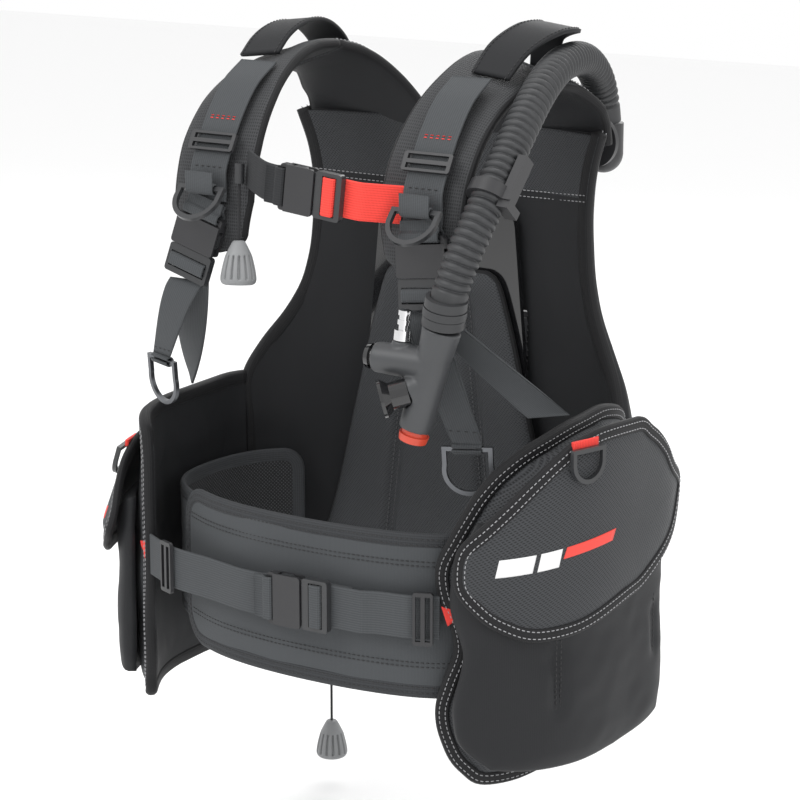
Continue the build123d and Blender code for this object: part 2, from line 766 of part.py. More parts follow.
def hose_tube(radius):
    """The hose's route as a round bar."""
    with BuildPart() as tube:
        with BuildLine() as line:
            Spline(*HOSE)
        with BuildSketch(Plane(origin=line.line @ 0, z_dir=line.line % 0)):
            Circle(radius)
        sweep(path=line.line)
    return tube.part


save(hose_tube(HOSE_R), "inflator_hose")
hose_line = Spline(*HOSE)

# the elbow that brings the hose's air into the back of the bladder
ELBOW = (143.0, -62.0)
with BuildPart() as hose_elbow:
    with Locations((*ELBOW, 245.8)):
        Cylinder(18.5, 30)
    with Locations(Location((ELBOW[0], -76, 246), (90, 0, 0))):
        Cylinder(15, 22)
    with Locations(Location((ELBOW[0], -82, 246), (90, 0, 0))):
        Cylinder(25, 6)
    with Locations((*ELBOW, 231.6)):
        Sphere(18.4)
save(hose_elbow.part, "hose_elbow")

hose_end = hose_line @ 1
hose_way = (hose_line % 1).normalized()
with BuildPart() as hose_collar:
    for start, length, radius in ((-26, 8, 18.6), (-17.2, 7, 19.2), (-9.4, 8, 18.6)):
        with BuildSketch(Plane(origin=hose_end + hose_way * start, z_dir=hose_way)):
            Circle(radius)
        extrude(amount=length)
    with BuildSketch(Plane(origin=hose_end + hose_way * -26, z_dir=hose_way)):
        Circle(18)
    extrude(amount=25)
    add(hose_tube(HOSE_R + 0.1), mode=Mode.SUBTRACT)
save(hose_collar.part, "hose_collar")

INFLATOR_END = Vector(131, -381, 17)
INFLATOR_TOP = hose_end + hose_way * 1.6
inflator = Plane(origin=INFLATOR_TOP, x_dir=(-1, 0, 0.25), z_dir=INFLATOR_END - INFLATOR_TOP)
SHAFT_LENGTH = 94.0
ARM_START, ARM_END = Vector(0, 0, 34), Vector(54, -2, 47)
arm_way = (ARM_END - ARM_START).normalized()
MOUTH_START, MOUTH_END = Vector(11.6, -8.4, 62.5), Vector(27, -19.5, 73)
mouth_way = (MOUTH_END - MOUTH_START).normalized()
with BuildPart() as inflator_body:
    with Locations((0, 0, SHAFT_LENGTH / 2 + 1)):
        Cylinder(15, SHAFT_LENGTH - 2)
    add(rod((0, 0, 1), (0, 0, 30), 17.4, 15))
    add(rod(ARM_START, ARM_END, 15.5, 13.5))
    add(rod((0, 0, 52), (11, -8, 62), 13.5))
    add(rod(ARM_START + arm_way * 32, ARM_START + arm_way * 32 + Vector(3, 0, -17), 8.6))
    # bores for the two buttons and the mouthpiece's way
    add(rod(ARM_END - arm_way * 9, ARM_END + arm_way * 4, 9.6), mode=Mode.SUBTRACT)
    add(rod((0, 0, SHAFT_LENGTH - 12), (0, 0, SHAFT_LENGTH + 4), 11.6), mode=Mode.SUBTRACT)
    add(rod(MOUTH_START - mouth_way * 6, MOUTH_END, 9.5), mode=Mode.SUBTRACT)
    add(rod(MOUTH_START - mouth_way * 0.3, MOUTH_END, 12.9), mode=Mode.SUBTRACT)
save(inflator.location * inflator_body.part, "inflator_body")

INFLATE_TRAVEL, DEFLATE_TRAVEL = 3.0, 4.0
with BuildPart() as inflate_button:
    add(rod(ARM_END - arm_way * 5, ARM_END + arm_way * 6, 9.2))
    add(rod(ARM_END + arm_way * 3.6, ARM_END + arm_way * 8, 11.5, 10.5))
save(inflator.location * inflate_button.part, "inflate_button")
with BuildPart() as deflate_button:
    add(rod((0, 0, SHAFT_LENGTH - 7), (0, 0, SHAFT_LENGTH + 5), 11.2))
    add(rod((0, 0, SHAFT_LENGTH + 4.6), (0, 0, SHAFT_LENGTH + 11), 13.4, 12.4))
save(inflator.location * deflate_button.part, "deflate_button")

# the mouthpiece: a tube that flares to a lip, bored right through
with BuildPart() as mouthpiece:
    add(rod(MOUTH_START, MOUTH_END, 12.5, 12))
    add(rod(MOUTH_END - mouth_way * 6, MOUTH_END, 12.2, 17.5))
    add(rod(MOUTH_END - mouth_way * 0.01, MOUTH_END + mouth_way * 3, 17.5))
    add(rod(MOUTH_START - mouth_way * 2, MOUTH_END + mouth_way * 5, 9.0), mode=Mode.SUBTRACT)
save(inflator.location * mouthpiece.part, "mouthpiece")

NIPPLE_WAY = Vector(0.17, 0, -0.985)
NIPPLE_START = ARM_START + arm_way * 32 + Vector(3.1, 0, -17.6)
NIPPLE_STEPS = ((0, 9, 7.6), (8.9, 5, 4.2), (13.8, 4.4, 5.6), (18.1, 4, 4.4), (22, 4.4, 5.6))
with BuildPart() as nipple:
    for start, length, radius in NIPPLE_STEPS:
        add(rod(NIPPLE_START + NIPPLE_WAY * start, NIPPLE_START + NIPPLE_WAY * (start + length), radius))
save(inflator.location * nipple.part, "inflator_nipple")

# the clip that holds the hose to the shoulder
clip_at = hose_line @ 0.735
clip_way = (hose_line % 0.735).normalized()
clip_plane = Plane(origin=clip_at, x_dir=(1, 0, 0), z_dir=clip_way)
with BuildPart() as hose_clip:
    Cylinder(HOSE_R + 4.4, 12)
    with Locations((20, 2, -16)):
        Box(9, 14, 44)
    with Locations((19.5, -4, 9)):
        Box(12, 22, 8)
save(clip_plane.location * hose_clip.part - hose_tube(HOSE_R + 0.3), "hose_clip")

# ---------------------------------------------------------------- dump valves and their pulls
CORD_R = 1.3
KNOB_R, KNOB_LENGTH = 16.5, 40.0


def pull(start, end, knob_end, cord_name, knob_name):
    """A cord from start to end, and the ribbed cone that hangs on it down to knob_end."""
    start, end, knob_end = Vector(*start), Vector(*end), Vector(*knob_end)
    way = (knob_end - end).normalized()
    save(rod(start, end, CORD_R), cord_name)
    with BuildPart() as knob:
        add(rod(end, end + way * (KNOB_LENGTH - 5), 6.0, KNOB_R))
        add(rod(end + way * (KNOB_LENGTH - 5.01), knob_end, KNOB_R, KNOB_R - 3))
    save(knob.part, knob_name)


SHOULDER_GUIDE = Vector(-73.5, -347.5, 232)
shoulder_way = (Vector(-70, -355, 172) - SHOULDER_GUIDE).normalized()
knob_top = SHOULDER_GUIDE + shoulder_way * 60
pull(
    SHOULDER_GUIDE,
    knob_top,
    knob_top + shoulder_way * KNOB_LENGTH,
    "shoulder_pull_cord",
    "shoulder_pull_knob",
)
with BuildPart() as cord_guide:
    add(rod(SHOULDER_GUIDE - shoulder_way * 9, SHOULDER_GUIDE + shoulder_way * 9, 4.4))
    add(
        rod(SHOULDER_GUIDE - shoulder_way * 10, SHOULDER_GUIDE + shoulder_way * 10, CORD_R + 0.5),
        mode=Mode.SUBTRACT,
    )
save(cord_guide.part, "cord_guide")

LOWER_VALVE = (-160.0, -79.0, -236.0)
with BuildPart() as lower_valve:
    with Locations(Location((LOWER_VALVE[0], LOWER_VALVE[1] - 4, LOWER_VALVE[2]), (90, 0, 0))):
        Cylinder(27, 4)
    with Locations(Location(LOWER_VALVE, (90, 0, 0))):
        Cylinder(22, 10)
    with Locations((LOWER_VALVE[0], LOWER_VALVE[1], LOWER_VALVE[2] - 24)):
        Box(9, 8, 12)
    with Locations((LOWER_VALVE[0], LOWER_VALVE[1], LOWER_VALVE[2] - 26)):
        Cylinder(CORD_R + 0.6, 30, mode=Mode.SUBTRACT)
pull(
    (LOWER_VALVE[0], LOWER_VALVE[1], LOWER_VALVE[2] - 26),
    (LOWER_VALVE[0], LOWER_VALVE[1], -394),
    (LOWER_VALVE[0], LOWER_VALVE[1], -394 - KNOB_LENGTH),
    "lower_pull_cord",
    "lower_pull_knob",
)
SHOULDER_VALVE = (-143.0, -82.0, 246.0)
with BuildPart() as shoulder_valve:
    with Locations(Location((SHOULDER_VALVE[0], -83, SHOULDER_VALVE[2]), (90, 0, 0))):
        Cylinder(27, 4)
    with Locations(Location((SHOULDER_VALVE[0], -78, SHOULDER_VALVE[2]), (90, 0, 0))):
        Cylinder(22, 8)
save(lower_valve.part + shoulder_valve.part, "dump_valves")

# ---------------------------------------------------------------- flap rings
FLAP_RING_ANGLE = 104.0
FLAP_RING_Z = {"left": 20.0, "right": -52.0}
for name, side in SIDES:
    angle, height = side * FLAP_RING_ANGLE, FLAP_RING_Z[name]
    out = flap_base(name, angle, height) + FLAP_THICKNESS
    slope = flap_base(name, angle, height - 30.0) + FLAP_THICKNESS - out  # over the ring's 30 mm
    x, y = loop_point(angle, out + 6.2)
    x0, y0 = loop_point(angle, 0)
    away = Vector(x - x0, y - y0, 0).normalized()
    down = (Vector(0, 0, -30.0) + away * slope).normalized()
    bar = Plane(origin=(x, y, height), x_dir=down, z_dir=down.cross(away.cross(down)))
    save(d_ring(19, 30, 4.0, 4.0, bar), f"flap_ring_{name}")
    flap = flaps[name] + ring_tab(24, 12, 4.0, bar)
    save(flap, f"pocket_flap_{name}")
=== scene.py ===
"""Looks of the buoyancy vest: panels, padding, webbing, hose and hardware, in the CAD frame, in metres."""

import bpy
import numpy as np
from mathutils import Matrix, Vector, kdtree


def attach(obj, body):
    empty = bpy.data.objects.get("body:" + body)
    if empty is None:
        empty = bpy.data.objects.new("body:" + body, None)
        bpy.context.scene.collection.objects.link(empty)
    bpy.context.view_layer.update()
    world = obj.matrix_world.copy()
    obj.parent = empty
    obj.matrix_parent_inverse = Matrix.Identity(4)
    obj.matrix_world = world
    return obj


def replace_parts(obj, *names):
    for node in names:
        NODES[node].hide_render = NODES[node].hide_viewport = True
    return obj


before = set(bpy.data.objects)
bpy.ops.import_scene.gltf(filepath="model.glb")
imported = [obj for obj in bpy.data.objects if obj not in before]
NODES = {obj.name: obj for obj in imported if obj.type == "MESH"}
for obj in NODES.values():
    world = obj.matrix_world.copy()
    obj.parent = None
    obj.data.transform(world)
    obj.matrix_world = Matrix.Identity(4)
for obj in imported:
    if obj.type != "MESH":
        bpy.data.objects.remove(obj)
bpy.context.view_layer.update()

# ---------------------------------------------------------------- camera
TARGET = np.array([0.0, -0.195, 0.0])
AZIMUTH, ELEVATION, DISTANCE, LENS = 32.66, 14.06, 2.527, 119.4
az, el = np.radians(AZIMUTH), np.radians(ELEVATION)
eye = TARGET + DISTANCE * np.array([np.sin(az) * np.cos(el), -np.cos(az) * np.cos(el), np.sin(el)])
camera_data = bpy.data.cameras.new("camera")
camera = bpy.data.objects.new("camera", camera_data)
bpy.context.scene.collection.objects.link(camera)
camera.location = eye
camera.rotation_euler = (Vector(TARGET) - Vector(eye)).to_track_quat("-Z", "Y").to_euler()
camera_data.lens = LENS
camera_data.sensor_width = 36.0
camera_data.clip_end = 20.0
bpy.context.scene.camera = camera


# ---------------------------------------------------------------- materials
class Shader:
    """A node material that is built up call by call."""

    def __init__(self, name, color, roughness, metallic=0.0, **sockets):
        self.material = bpy.data.materials.new(name)
        self.material.use_nodes = True
        self.tree = self.material.node_tree
        self.bsdf = self.tree.nodes["Principled BSDF"]
        self.color = color
        self.bsdf.inputs["Base Color"].default_value = (*color, 1)
        self.bsdf.inputs["Roughness"].default_value = roughness
        self.bsdf.inputs["Metallic"].default_value = metallic
        self.bsdf.inputs["Specular IOR Level"].default_value = sockets.pop("Specular", 0.5)
        for socket, value in sockets.items():
            self.bsdf.inputs[socket.replace("_", " ")].default_value = value

    def node(self, kind, **settings):
        made = self.tree.nodes.new(kind)
        for key, value in settings.items():
            if key in made.inputs:
                made.inputs[key].default_value = value
            else:
                setattr(made, key, value)
        return made

    def link(self, source, target):
        self.tree.links.new(source, target)

    def coordinates(self, uv, scale=(1, 1, 1), turn=0.0):
        place = self.node("ShaderNodeTexCoord")
        mapping = self.node("ShaderNodeMapping")
        mapping.inputs["Scale"].default_value = scale
        mapping.inputs["Rotation"].default_value = (0, 0, turn)
        self.link(place.outputs["UV" if uv else "Object"], mapping.inputs["Vector"])
        return mapping.outputs["Vector"]

    def wave(self, vector, axis, scale=1.0):
        made = self.node("ShaderNodeTexWave", bands_direction=axis, wave_profile="SIN")
        made.inputs["Scale"].default_value = scale
        self.link(vector, made.inputs["Vector"])
        return made.outputs["Fac"]

    def noise(self, vector, scale, detail=3.0):
        made = self.node("ShaderNodeTexNoise")
        made.inputs["Scale"].default_value = scale
        made.inputs["Detail"].default_value = detail
        self.link(vector, made.inputs["Vector"])
        return made.outputs["Fac"]

    def maths(self, operation, a, b):
        made = self.node("ShaderNodeMath", operation=operation)
        for value, socket in ((a, made.inputs[0]), (b, made.inputs[1])):
            if isinstance(value, (int, float)):
                socket.default_value = value
            else:
                self.link(value, socket)
        return made.outputs[0]

    def bump(self, height, strength, distance):
        made = self.node("ShaderNodeBump")
        made.inputs["Strength"].default_value = strength
        made.inputs["Distance"].default_value = distance
        self.link(height, made.inputs["Height"])
        if self.bsdf.inputs["Normal"].is_linked:
            self.link(self.bsdf.inputs["Normal"].links[0].from_socket, made.inputs["Normal"])
        self.link(made.outputs["Normal"], self.bsdf.inputs["Normal"])

    def tint(self, factor, low, high):
        """The base colour runs from low to high times the colour as factor runs from 0 to 1."""
        ramp = self.node("ShaderNodeValToRGB")
        ramp.color_ramp.elements[0].color = (*[c * low for c in self.color], 1)
        ramp.color_ramp.elements[1].color = (*[min(1.0, c * high) for c in self.color], 1)
        self.link(factor, ramp.inputs["Fac"])
        self.link(ramp.outputs["Color"], self.bsdf.inputs["Base Color"])


WAVE_SPAN = 0.3142  # a wave texture of scale 1 repeats every 0.3142 of a unit
MESH_PITCH = 0.0026
GROOVE_PITCH = 0.0022


def weave(name, color, pitch, roughness, depth=0.00025, contrast=0.45, turn=0.0, worn=0.12):
    """Woven nylon: warp and weft ribs of the given pitch, over slow fading and a little fuzz."""
    s = Shader(name, color, roughness, Sheen_Weight=0.03, Specular=0.22)
    vector = s.coordinates(True, turn=turn)
    warp = s.wave(vector, "X", WAVE_SPAN / pitch)
    weft = s.wave(vector, "Y", WAVE_SPAN / (pitch * 0.72))
    cloth = s.maths("MAXIMUM", s.maths("MULTIPLY", warp, 0.9), weft)
    fade = s.noise(vector, 9.0, 4.0)
    fibre = s.noise(vector, 900.0, 2.0)
    mixed = s.maths("ADD", s.maths("MULTIPLY", cloth, 1 - worn), s.maths("MULTIPLY", fade, worn))
    s.tint(mixed, 1 - contrast, 1 + contrast)
    s.bump(cloth, 0.6, depth)
    s.bump(fibre, 0.15, 0.0001)
    return s.material


def ribbed(name, color, roughness=0.75, rib=0.0012, contrast=0.25):
    """Webbing: fine ribs across the strap and shallow grooves along it."""
    s = Shader(name, color, roughness, Sheen_Weight=0.03, Specular=0.2)
    vector = s.coordinates(True)
    across = s.wave(vector, "X", WAVE_SPAN / rib)
    along = s.wave(vector, "Y", WAVE_SPAN / GROOVE_PITCH)
    both = s.maths("ADD", s.maths("MULTIPLY", across, 0.45), s.maths("MULTIPLY", along, 0.55))
    s.tint(both, 1 - contrast, 1 + contrast)
    s.bump(both, 0.7, 0.0003)
    return s.material


def mesh_cloth(name, color):
    """Spacer mesh: a regular grid of small dark holes."""
    s = Shader(name, color, 0.8, Sheen_Weight=0.03, Specular=0.2)
    vector = s.coordinates(True, turn=0.785)
    warp, weft = (s.wave(vector, axis, WAVE_SPAN / MESH_PITCH) for axis in "XY")
    grid = s.maths("MULTIPLY", warp, weft)
    s.tint(grid, 0.45, 1.9)
    s.bump(grid, 0.9, 0.0004)
    return s.material


def plastic(name, color, roughness, grain=0.0002, **sockets):
    s = Shader(name, color, roughness, **sockets)
    vector = s.coordinates(False)
    s.bump(s.noise(vector, 700.0, 2.0), 0.25, grain)
    s.tint(s.noise(vector, 25.0, 3.0), 0.85, 1.15)
    return s.material


def metal(name, color, roughness):
    s = Shader(name, color, roughness, metallic=1.0)
    vector = s.coordinates(False)
    s.tint(s.noise(vector, 60.0, 3.0), 0.8, 1.1)
    s.bump(s.noise(vector, 500.0, 2.0), 0.1, 0.0001)
    return s.material


def plain(name, color, roughness):
    return Shader(name, color, roughness).material


def coated(name, color, roughness):
    return plastic(name, color, roughness, 0.00002, Coat_Weight=0.6)


LOOKS = (
    (weave, "ribbed_nylon", (0.030, 0.0315, 0.034), 0.0027, 0.55, 0.0007, 0.7, 0.62),
    (weave, "smooth_nylon", (0.014, 0.0145, 0.016), 0.0011, 0.6, 0.0001, 0.15),
    (weave, "grey_nylon", (0.056, 0.060, 0.064), 0.0013, 0.7, 0.0002, 0.22),
    (weave, "back_weave", (0.040, 0.042, 0.045), 0.0026, 0.62, 0.0006, 0.6, 0.62),
    (weave, "back_nylon", (0.030, 0.031, 0.033), 0.0022, 0.7, 0.0005, 0.4),
    (mesh_cloth, "spacer_mesh", (0.036, 0.037, 0.039)),
    (weave, "pad_weave", (0.034, 0.035, 0.037), 0.0030, 0.62, 0.0006, 0.6),
    (plain, "red_thread", (0.80, 0.05, 0.04), 0.6),
    (ribbed, "grey_edge", (0.036, 0.038, 0.041), 0.7, 0.0016, 0.25),
    (ribbed, "binding", (0.012, 0.012, 0.013), 0.6, 0.0016, 0.2),
    (plain, "thread", (0.30, 0.30, 0.31), 0.6),
    (plain, "grey_thread", (0.10, 0.10, 0.105), 0.6),
    (plain, "dark_thread", (0.02, 0.02, 0.021), 0.6),
    (ribbed, "grey_web", (0.060, 0.064, 0.068)),
    (ribbed, "black_web", (0.026, 0.027, 0.029)),
    (ribbed, "red_web", (0.78, 0.062, 0.048)),
    (weave, "red_cloth", (0.75, 0.05, 0.04), 0.0012, 0.6),
    (plain, "white_print", (0.75, 0.75, 0.75), 0.5),
    (plain, "red_print", (0.75, 0.05, 0.035), 0.5),
    (plastic, "moulded", (0.045, 0.047, 0.050), 0.42),
    (plastic, "matte_plastic", (0.022, 0.022, 0.024), 0.42),
    (plastic, "sheen_plastic", (0.030, 0.031, 0.033), 0.30),
    (coated, "gloss_plastic", (0.008, 0.008, 0.009), 0.12),
    (plastic, "rubber", (0.026, 0.027, 0.029), 0.5, 0.0002),
    (plastic, "grey_plastic", (0.22, 0.225, 0.23), 0.5),
    (plastic, "red_plastic", (0.55, 0.06, 0.03), 0.4),
    (metal, "steel", (0.55, 0.56, 0.57), 0.28),
    (metal, "dark_steel", (0.15, 0.155, 0.165), 0.34),
    (metal, "chrome", (0.8, 0.8, 0.81), 0.12),
    (ribbed, "cord", (0.03, 0.03, 0.032)),
)
MAT = {name: maker(name, *values) for maker, name, *values in LOOKS}
# the looks of each material slot of the record; every other look is of black_nylon
SLOTS = {
    "grey_nylon": ("grey_nylon", "grey_edge"),
    "grey_webbing": ("grey_web", "black_web"),
    "red_webbing": ("red_web",),
    "matte_black_plastic": ("matte_plastic", "sheen_plastic", "moulded"),
    "gloss_black_plastic": ("gloss_plastic",),
    "black_rubber": ("rubber",),
    "dark_cord": ("cord",),
    "steel": ("steel", "dark_steel"),
    **{name: (name,) for name in ("red_plastic", "grey_plastic", "chrome")},
}


# ---------------------------------------------------------------- geometry helpers
def make(name, verts, faces, mats, picks=None, uvs=None, body="vest", smooth=True):
    """A mesh object that rides on a body. picks gives each face's material, uvs each vertex's."""
    mesh = bpy.data.meshes.new(name)
    mesh.from_pydata([tuple(v) for v in np.asarray(verts)], [], [tuple(f) for f in faces])
    for m in mats:
        mesh.materials.append(MAT[m])
    if picks is not None:
        mesh.polygons.foreach_set("material_index", np.asarray(picks, dtype=np.int32))
    if uvs is not None:
        layer = mesh.uv_layers.new(name="UVMap")
        loops = np.empty(len(mesh.loops), dtype=np.int32)
        mesh.loops.foreach_get("vertex_index", loops)
        layer.data.foreach_set("uv", np.asarray(uvs, dtype=np.float32)[loops].ravel())
    if smooth:
        mesh.polygons.foreach_set("use_smooth", [True] * len(mesh.polygons))
    mesh.validate()
    mesh.update()
    obj = bpy.data.objects.new(name, mesh)
    bpy.context.scene.collection.objects.link(obj)
    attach(obj, body)
    for slot, looks in SLOTS.items():
        if mats[0] in looks:
            break
    else:
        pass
    return obj


def curve(points, count):
    """count points along a smooth curve through the given ones."""
    points = np.asarray(points, dtype=float)
    reach = reach_of(points)
    if len(points) > 2:
        slope = np.gradient(points, reach, axis=0)
    else:
        slope = np.tile((points[1] - points[0]) / reach[1], (2, 1))
    at = np.linspace(0, reach[-1], count)
    i = np.clip(np.searchsorted(reach, at, side="right") - 1, 0, len(points) - 2)
    step = (reach[i + 1] - reach[i])[:, None]
    t = ((at - reach[i])[:, None]) / step
    return (
        (2 * t**3 - 3 * t**2 + 1) * points[i]
        + (t**3 - 2 * t**2 + t) * step * slope[i]
        + (-2 * t**3 + 3 * t**2) * points[i + 1]
        + (t**3 - t**2) * step * slope[i + 1]
    )


def unit(v):
    return v / np.maximum(np.linalg.norm(v, axis=-1, keepdims=True), 1e-9)


def reach_of(path):
    """The distance along a line at each of its points."""
    return np.r_[0, np.cumsum(np.linalg.norm(np.diff(path, axis=0), axis=1))]


# The jacket's loop: a rounded rectangle round the wearer, narrower towards the front.
LOOP_HALF_WIDTH, LOOP_HALF_DEPTH, LOOP_CENTRE_Y, LOOP_POWER, LOOP_TAPER = 0.235, 0.143, -0.243, 3.2, 0.14


def loop_base(angle):
    a = np.radians(angle)
    s, c = np.sin(a), np.cos(a)
    x = LOOP_HALF_WIDTH * np.sign(s) * np.abs(s) ** (2 / LOOP_POWER) * (1 - LOOP_TAPER * (1 - c) / 2)
    y = LOOP_CENTRE_Y + LOOP_HALF_DEPTH * np.sign(c) * np.abs(c) ** (2 / LOOP_POWER)
    return np.stack([x, y], -1)


def loop_normal(angle):
    """Outward normals of the jacket's loop, away from the wearer."""
    step = unit(loop_base(np.asarray(angle) + 1.0) - loop_base(np.asarray(angle) - 1.0))
    return np.stack([-step[..., 1], step[..., 0], np.zeros(step.shape[:-1])], -1)


def on_loop(angle, z, offset):
    """Points of the jacket: an angle round the loop, a height and an offset outwards from it."""
    angle, z, offset = np.broadcast_arrays(np.asarray(angle, float), z, offset)
    return np.concatenate([loop_base(angle), z[..., None]], -1) + loop_normal(angle) * offset[..., None]


LOOP_ANGLES = np.linspace(-180, 180, 1441)
LOOP_REACH = reach_of(loop_base(LOOP_ANGLES))
LOOP_REACH -= np.interp(0, LOOP_ANGLES, LOOP_REACH)


def arc(angle):
    """Distance round the loop from the spine."""
    return np.interp(angle, LOOP_ANGLES, LOOP_REACH)


def waves(u, v, size, seed, count=7):
    """Smooth random relief of unit height over metric coordinates, with features of about the given size."""
    local = np.random.default_rng(seed)
    total = np.zeros(np.broadcast(u, v).shape)
    for _ in range(count):
        turn, phase = local.uniform(0, np.pi), local.uniform(0, 2 * np.pi)
        k = 2 * np.pi / (size * local.uniform(0.7, 1.8))
        total += np.sin(k * (u * np.cos(turn) + v * np.sin(turn)) + phase)
    return total / count


def grid_faces(nu, nv, start=0, flip=False):
    i, j = np.meshgrid(np.arange(nu - 1), np.arange(nv - 1), indexing="ij")
    a = start + i * nv + j
    quads = np.stack([a, a + nv, a + nv + 1, a + 1], -1).reshape(-1, 4)
    return quads[:, ::-1] if flip else quads


def ring_of(nu, nv):
    """Grid indices round the rim of a grid, in order."""
    ring = [i * nv for i in range(nu)]
    ring += [(nu - 1) * nv + j for j in range(1, nv)]
    ring += [i * nv + nv - 1 for i in range(nu - 2, -1, -1)]
    return np.array(ring + list(range(nv - 2, 0, -1)))


def sheet_faces(nu, nv):
    """Faces of a sheet from two grids: its front, its back and the strip round its rim."""
    count, ring = nu * nv, ring_of(nu, nv)
    following = np.roll(ring, -1)
    rim = np.stack([ring, following, following + count, ring + count], -1)
    return grid_faces(nu, nv), grid_faces(nu, nv, count, True), rim


def hoop_faces(n, m, flip=False, flip_caps=False):
    """Faces of a tube of n rings of m points, with a flat cap at each end."""
    i, j = np.meshgrid(np.arange(n - 1), np.arange(m), indexing="ij")
    k = (j + 1) % m
    faces = np.stack([i * m + j, (i + 1) * m + j, (i + 1) * m + k, i * m + k], -1).reshape(-1, 4)
    start, end = list(range(m)), [(n - 1) * m + q for q in range(m - 1, -1, -1)]
    if flip_caps:
        start, end = start[::-1], end[::-1]
    return (faces[:, ::-1] if flip else faces).tolist() + [start, end]


class Patch:
    """A sewn panel on the jacket's loop, between four edge curves of (angle, height) points."""

    def __init__(self, bottom, top, left, right, nu=70, nv=70, side=1):
        b, t = curve(bottom, nu), curve(top, nu)
        l, r = curve(left, nv), curve(right, nv)
        u, v = np.meshgrid(np.linspace(0, 1, nu), np.linspace(0, 1, nv), indexing="ij")
        u, v = u[..., None], v[..., None]
        at = (1 - v) * b[:, None] + v * t[:, None] + (1 - u) * l[None] + u * r[None]
        at -= (1 - u) * (1 - v) * b[0] + u * (1 - v) * b[-1] + (1 - u) * v * t[0] + u * v * t[-1]
        self.nu, self.nv, self.side = nu, nv, side
        self.angle, self.z = at[..., 0], at[..., 1] / 1000
        self.s = arc(self.angle)
        self.measure()

    def measure(self):
        """Each grid point's distance from the rim, and its place on the flat cloth."""
        self.rim = ring_of(self.nu, self.nv)
        self.uv = np.stack([self.s, self.z], -1)
        own = self.uv.reshape(-1, 2)
        away = np.min(np.linalg.norm(own[:, None] - own[self.rim][None], axis=-1), axis=1)
        self.away = away.reshape(self.nu, self.nv)

    def points(self, offset):
        p = on_loop(self.angle, self.z, offset)
        p[..., 0] *= self.side
        return p

    def shell(self, name, inner, outer, mats, body="vest"):
        """A closed panel between two offset fields. mats are the outer and inner face's materials."""
        verts = np.concatenate([self.points(outer).reshape(-1, 3), self.points(inner).reshape(-1, 3)])
        front, back, side = sheet_faces(self.nu, self.nv)
        if self.side > 0:
            front, back = front[:, ::-1], back[:, ::-1]
        else:
            side = side[:, ::-1]
        picks = np.r_[np.zeros(len(front), int), np.ones(len(back), int), np.zeros(len(side), int)]
        uvs = np.concatenate([self.uv.reshape(-1, 2)] * 2)
        return make(name, verts, np.concatenate([front, back, side]), mats, picks, uvs, body)


def loop_line(outline, offset, side=1):
    """A line on the jacket from (angle, height) points, with its outward normals."""
    outline = np.asarray(outline, float)
    flat = np.stack([arc(outline[:, 0]) * 1000, outline[:, 1]], -1)
    at = curve(outline, max(12, int(reach_of(flat)[-1] / 4)))
    p, n = on_loop(at[:, 0], at[:, 1] / 1000, offset), loop_normal(at[:, 0])
    p[:, 0] *= side
    n[:, 0] *= side
    return p, n


def inset(path, normals, amount, closed=False):
    """The line moved sideways in its surface, to the left of its own direction as seen from outside."""
    if closed:
        way = np.roll(path, -1, axis=0) - np.roll(path, 1, axis=0)
    else:
        way = np.gradient(path, axis=0)
    return path + unit(np.cross(normals, unit(way))) * amount


def sweep(name, path, normals, profile, mats, body="vest", closed=False):
    """Sweeps a closed profile of (sideways, outwards) points along a line on a surface."""
    if closed:
        way = unit(np.roll(path, -1, axis=0) - np.roll(path, 1, axis=0))
    else:
        way = unit(np.gradient(path, axis=0))
    side = unit(np.cross(normals, way))
    up = unit(np.cross(way, side))
    profile = np.asarray(profile)
    n, m = len(path), len(profile)
    verts = path[:, None] + side[:, None] * profile[None, :, :1] + up[:, None] * profile[None, :, 1:]
    uvs = np.stack(np.meshgrid(reach_of(path), reach_of(profile), indexing="ij"), -1).reshape(-1, 2)
    faces = hoop_faces(n, m)
    if closed:
        last = (n - 1) * m
        faces[-2:] = [(last + j, j, (j + 1) % m, last + (j + 1) % m) for j in range(m)]
    return make(name, verts.reshape(-1, 3), faces, mats, None, uvs, body)


def resample(path, normals, step, closed=False):
    """The line at even steps."""
    if closed:
        path, normals = np.vstack([path, path[:1]]), np.vstack([normals, normals[:1]])
    reach = reach_of(path)
    count = max(2, int(reach[-1] / step))
    at = np.linspace(0, reach[-1], count, endpoint=not closed)
    return (
        np.stack([np.interp(at, reach, path[:, k]) for k in range(3)], -1),
        unit(np.stack([np.interp(at, reach, normals[:, k]) for k in range(3)], -1)),
    )


STITCH_PITCH, STITCH_LENGTH, STITCH_R = 0.0046, 0.0032, 0.00048
seams = {}


def stitch(path, normals, thread="thread", body="vest", closed=False, lift=0.0):
    """Collects a row of stitches along a line; all rows of one thread and body become one object."""
    at, up = resample(path, normals, STITCH_PITCH, closed)
    way = unit(np.gradient(at, axis=0))
    seams.setdefault((thread, body), []).append((at + up * lift, way, up))


def sew():
    """Builds the collected stitches: each is a short six-sided bead with sunken ends."""
    ring = np.linspace(0, 2 * np.pi, 6, endpoint=False)
    along = np.array([-0.5, -0.32, 0.32, 0.5])
    girth = np.array([0.35, 1.0, 1.0, 0.35])
    for (thread, body), rows in seams.items():
        at, way, up = (np.concatenate(part) for part in zip(*rows))
        at, way, up, side = (v[:, None, None] for v in (at, way, up, unit(np.cross(way, up))))
        thick = (girth * STITCH_R)[:, None, None]
        verts = (
            at
            + way * (along * STITCH_LENGTH)[:, None, None]
            + side * np.cos(ring)[:, None] * thick
            + up * np.sin(ring)[:, None] * thick
            - up * ((1 - girth) * STITCH_R * 0.8)[:, None, None]
        )
        block = np.array(hoop_faces(len(along), len(ring), flip=True)[:-2])
        faces = (np.arange(len(at)) * len(along) * len(ring))[:, None, None] + block[None]
        make(f"{thread}_stitches_{body}", verts.reshape(-1, 3), faces.reshape(-1, 4), [thread], body=body)


BIND_WIDTH = 0.0115


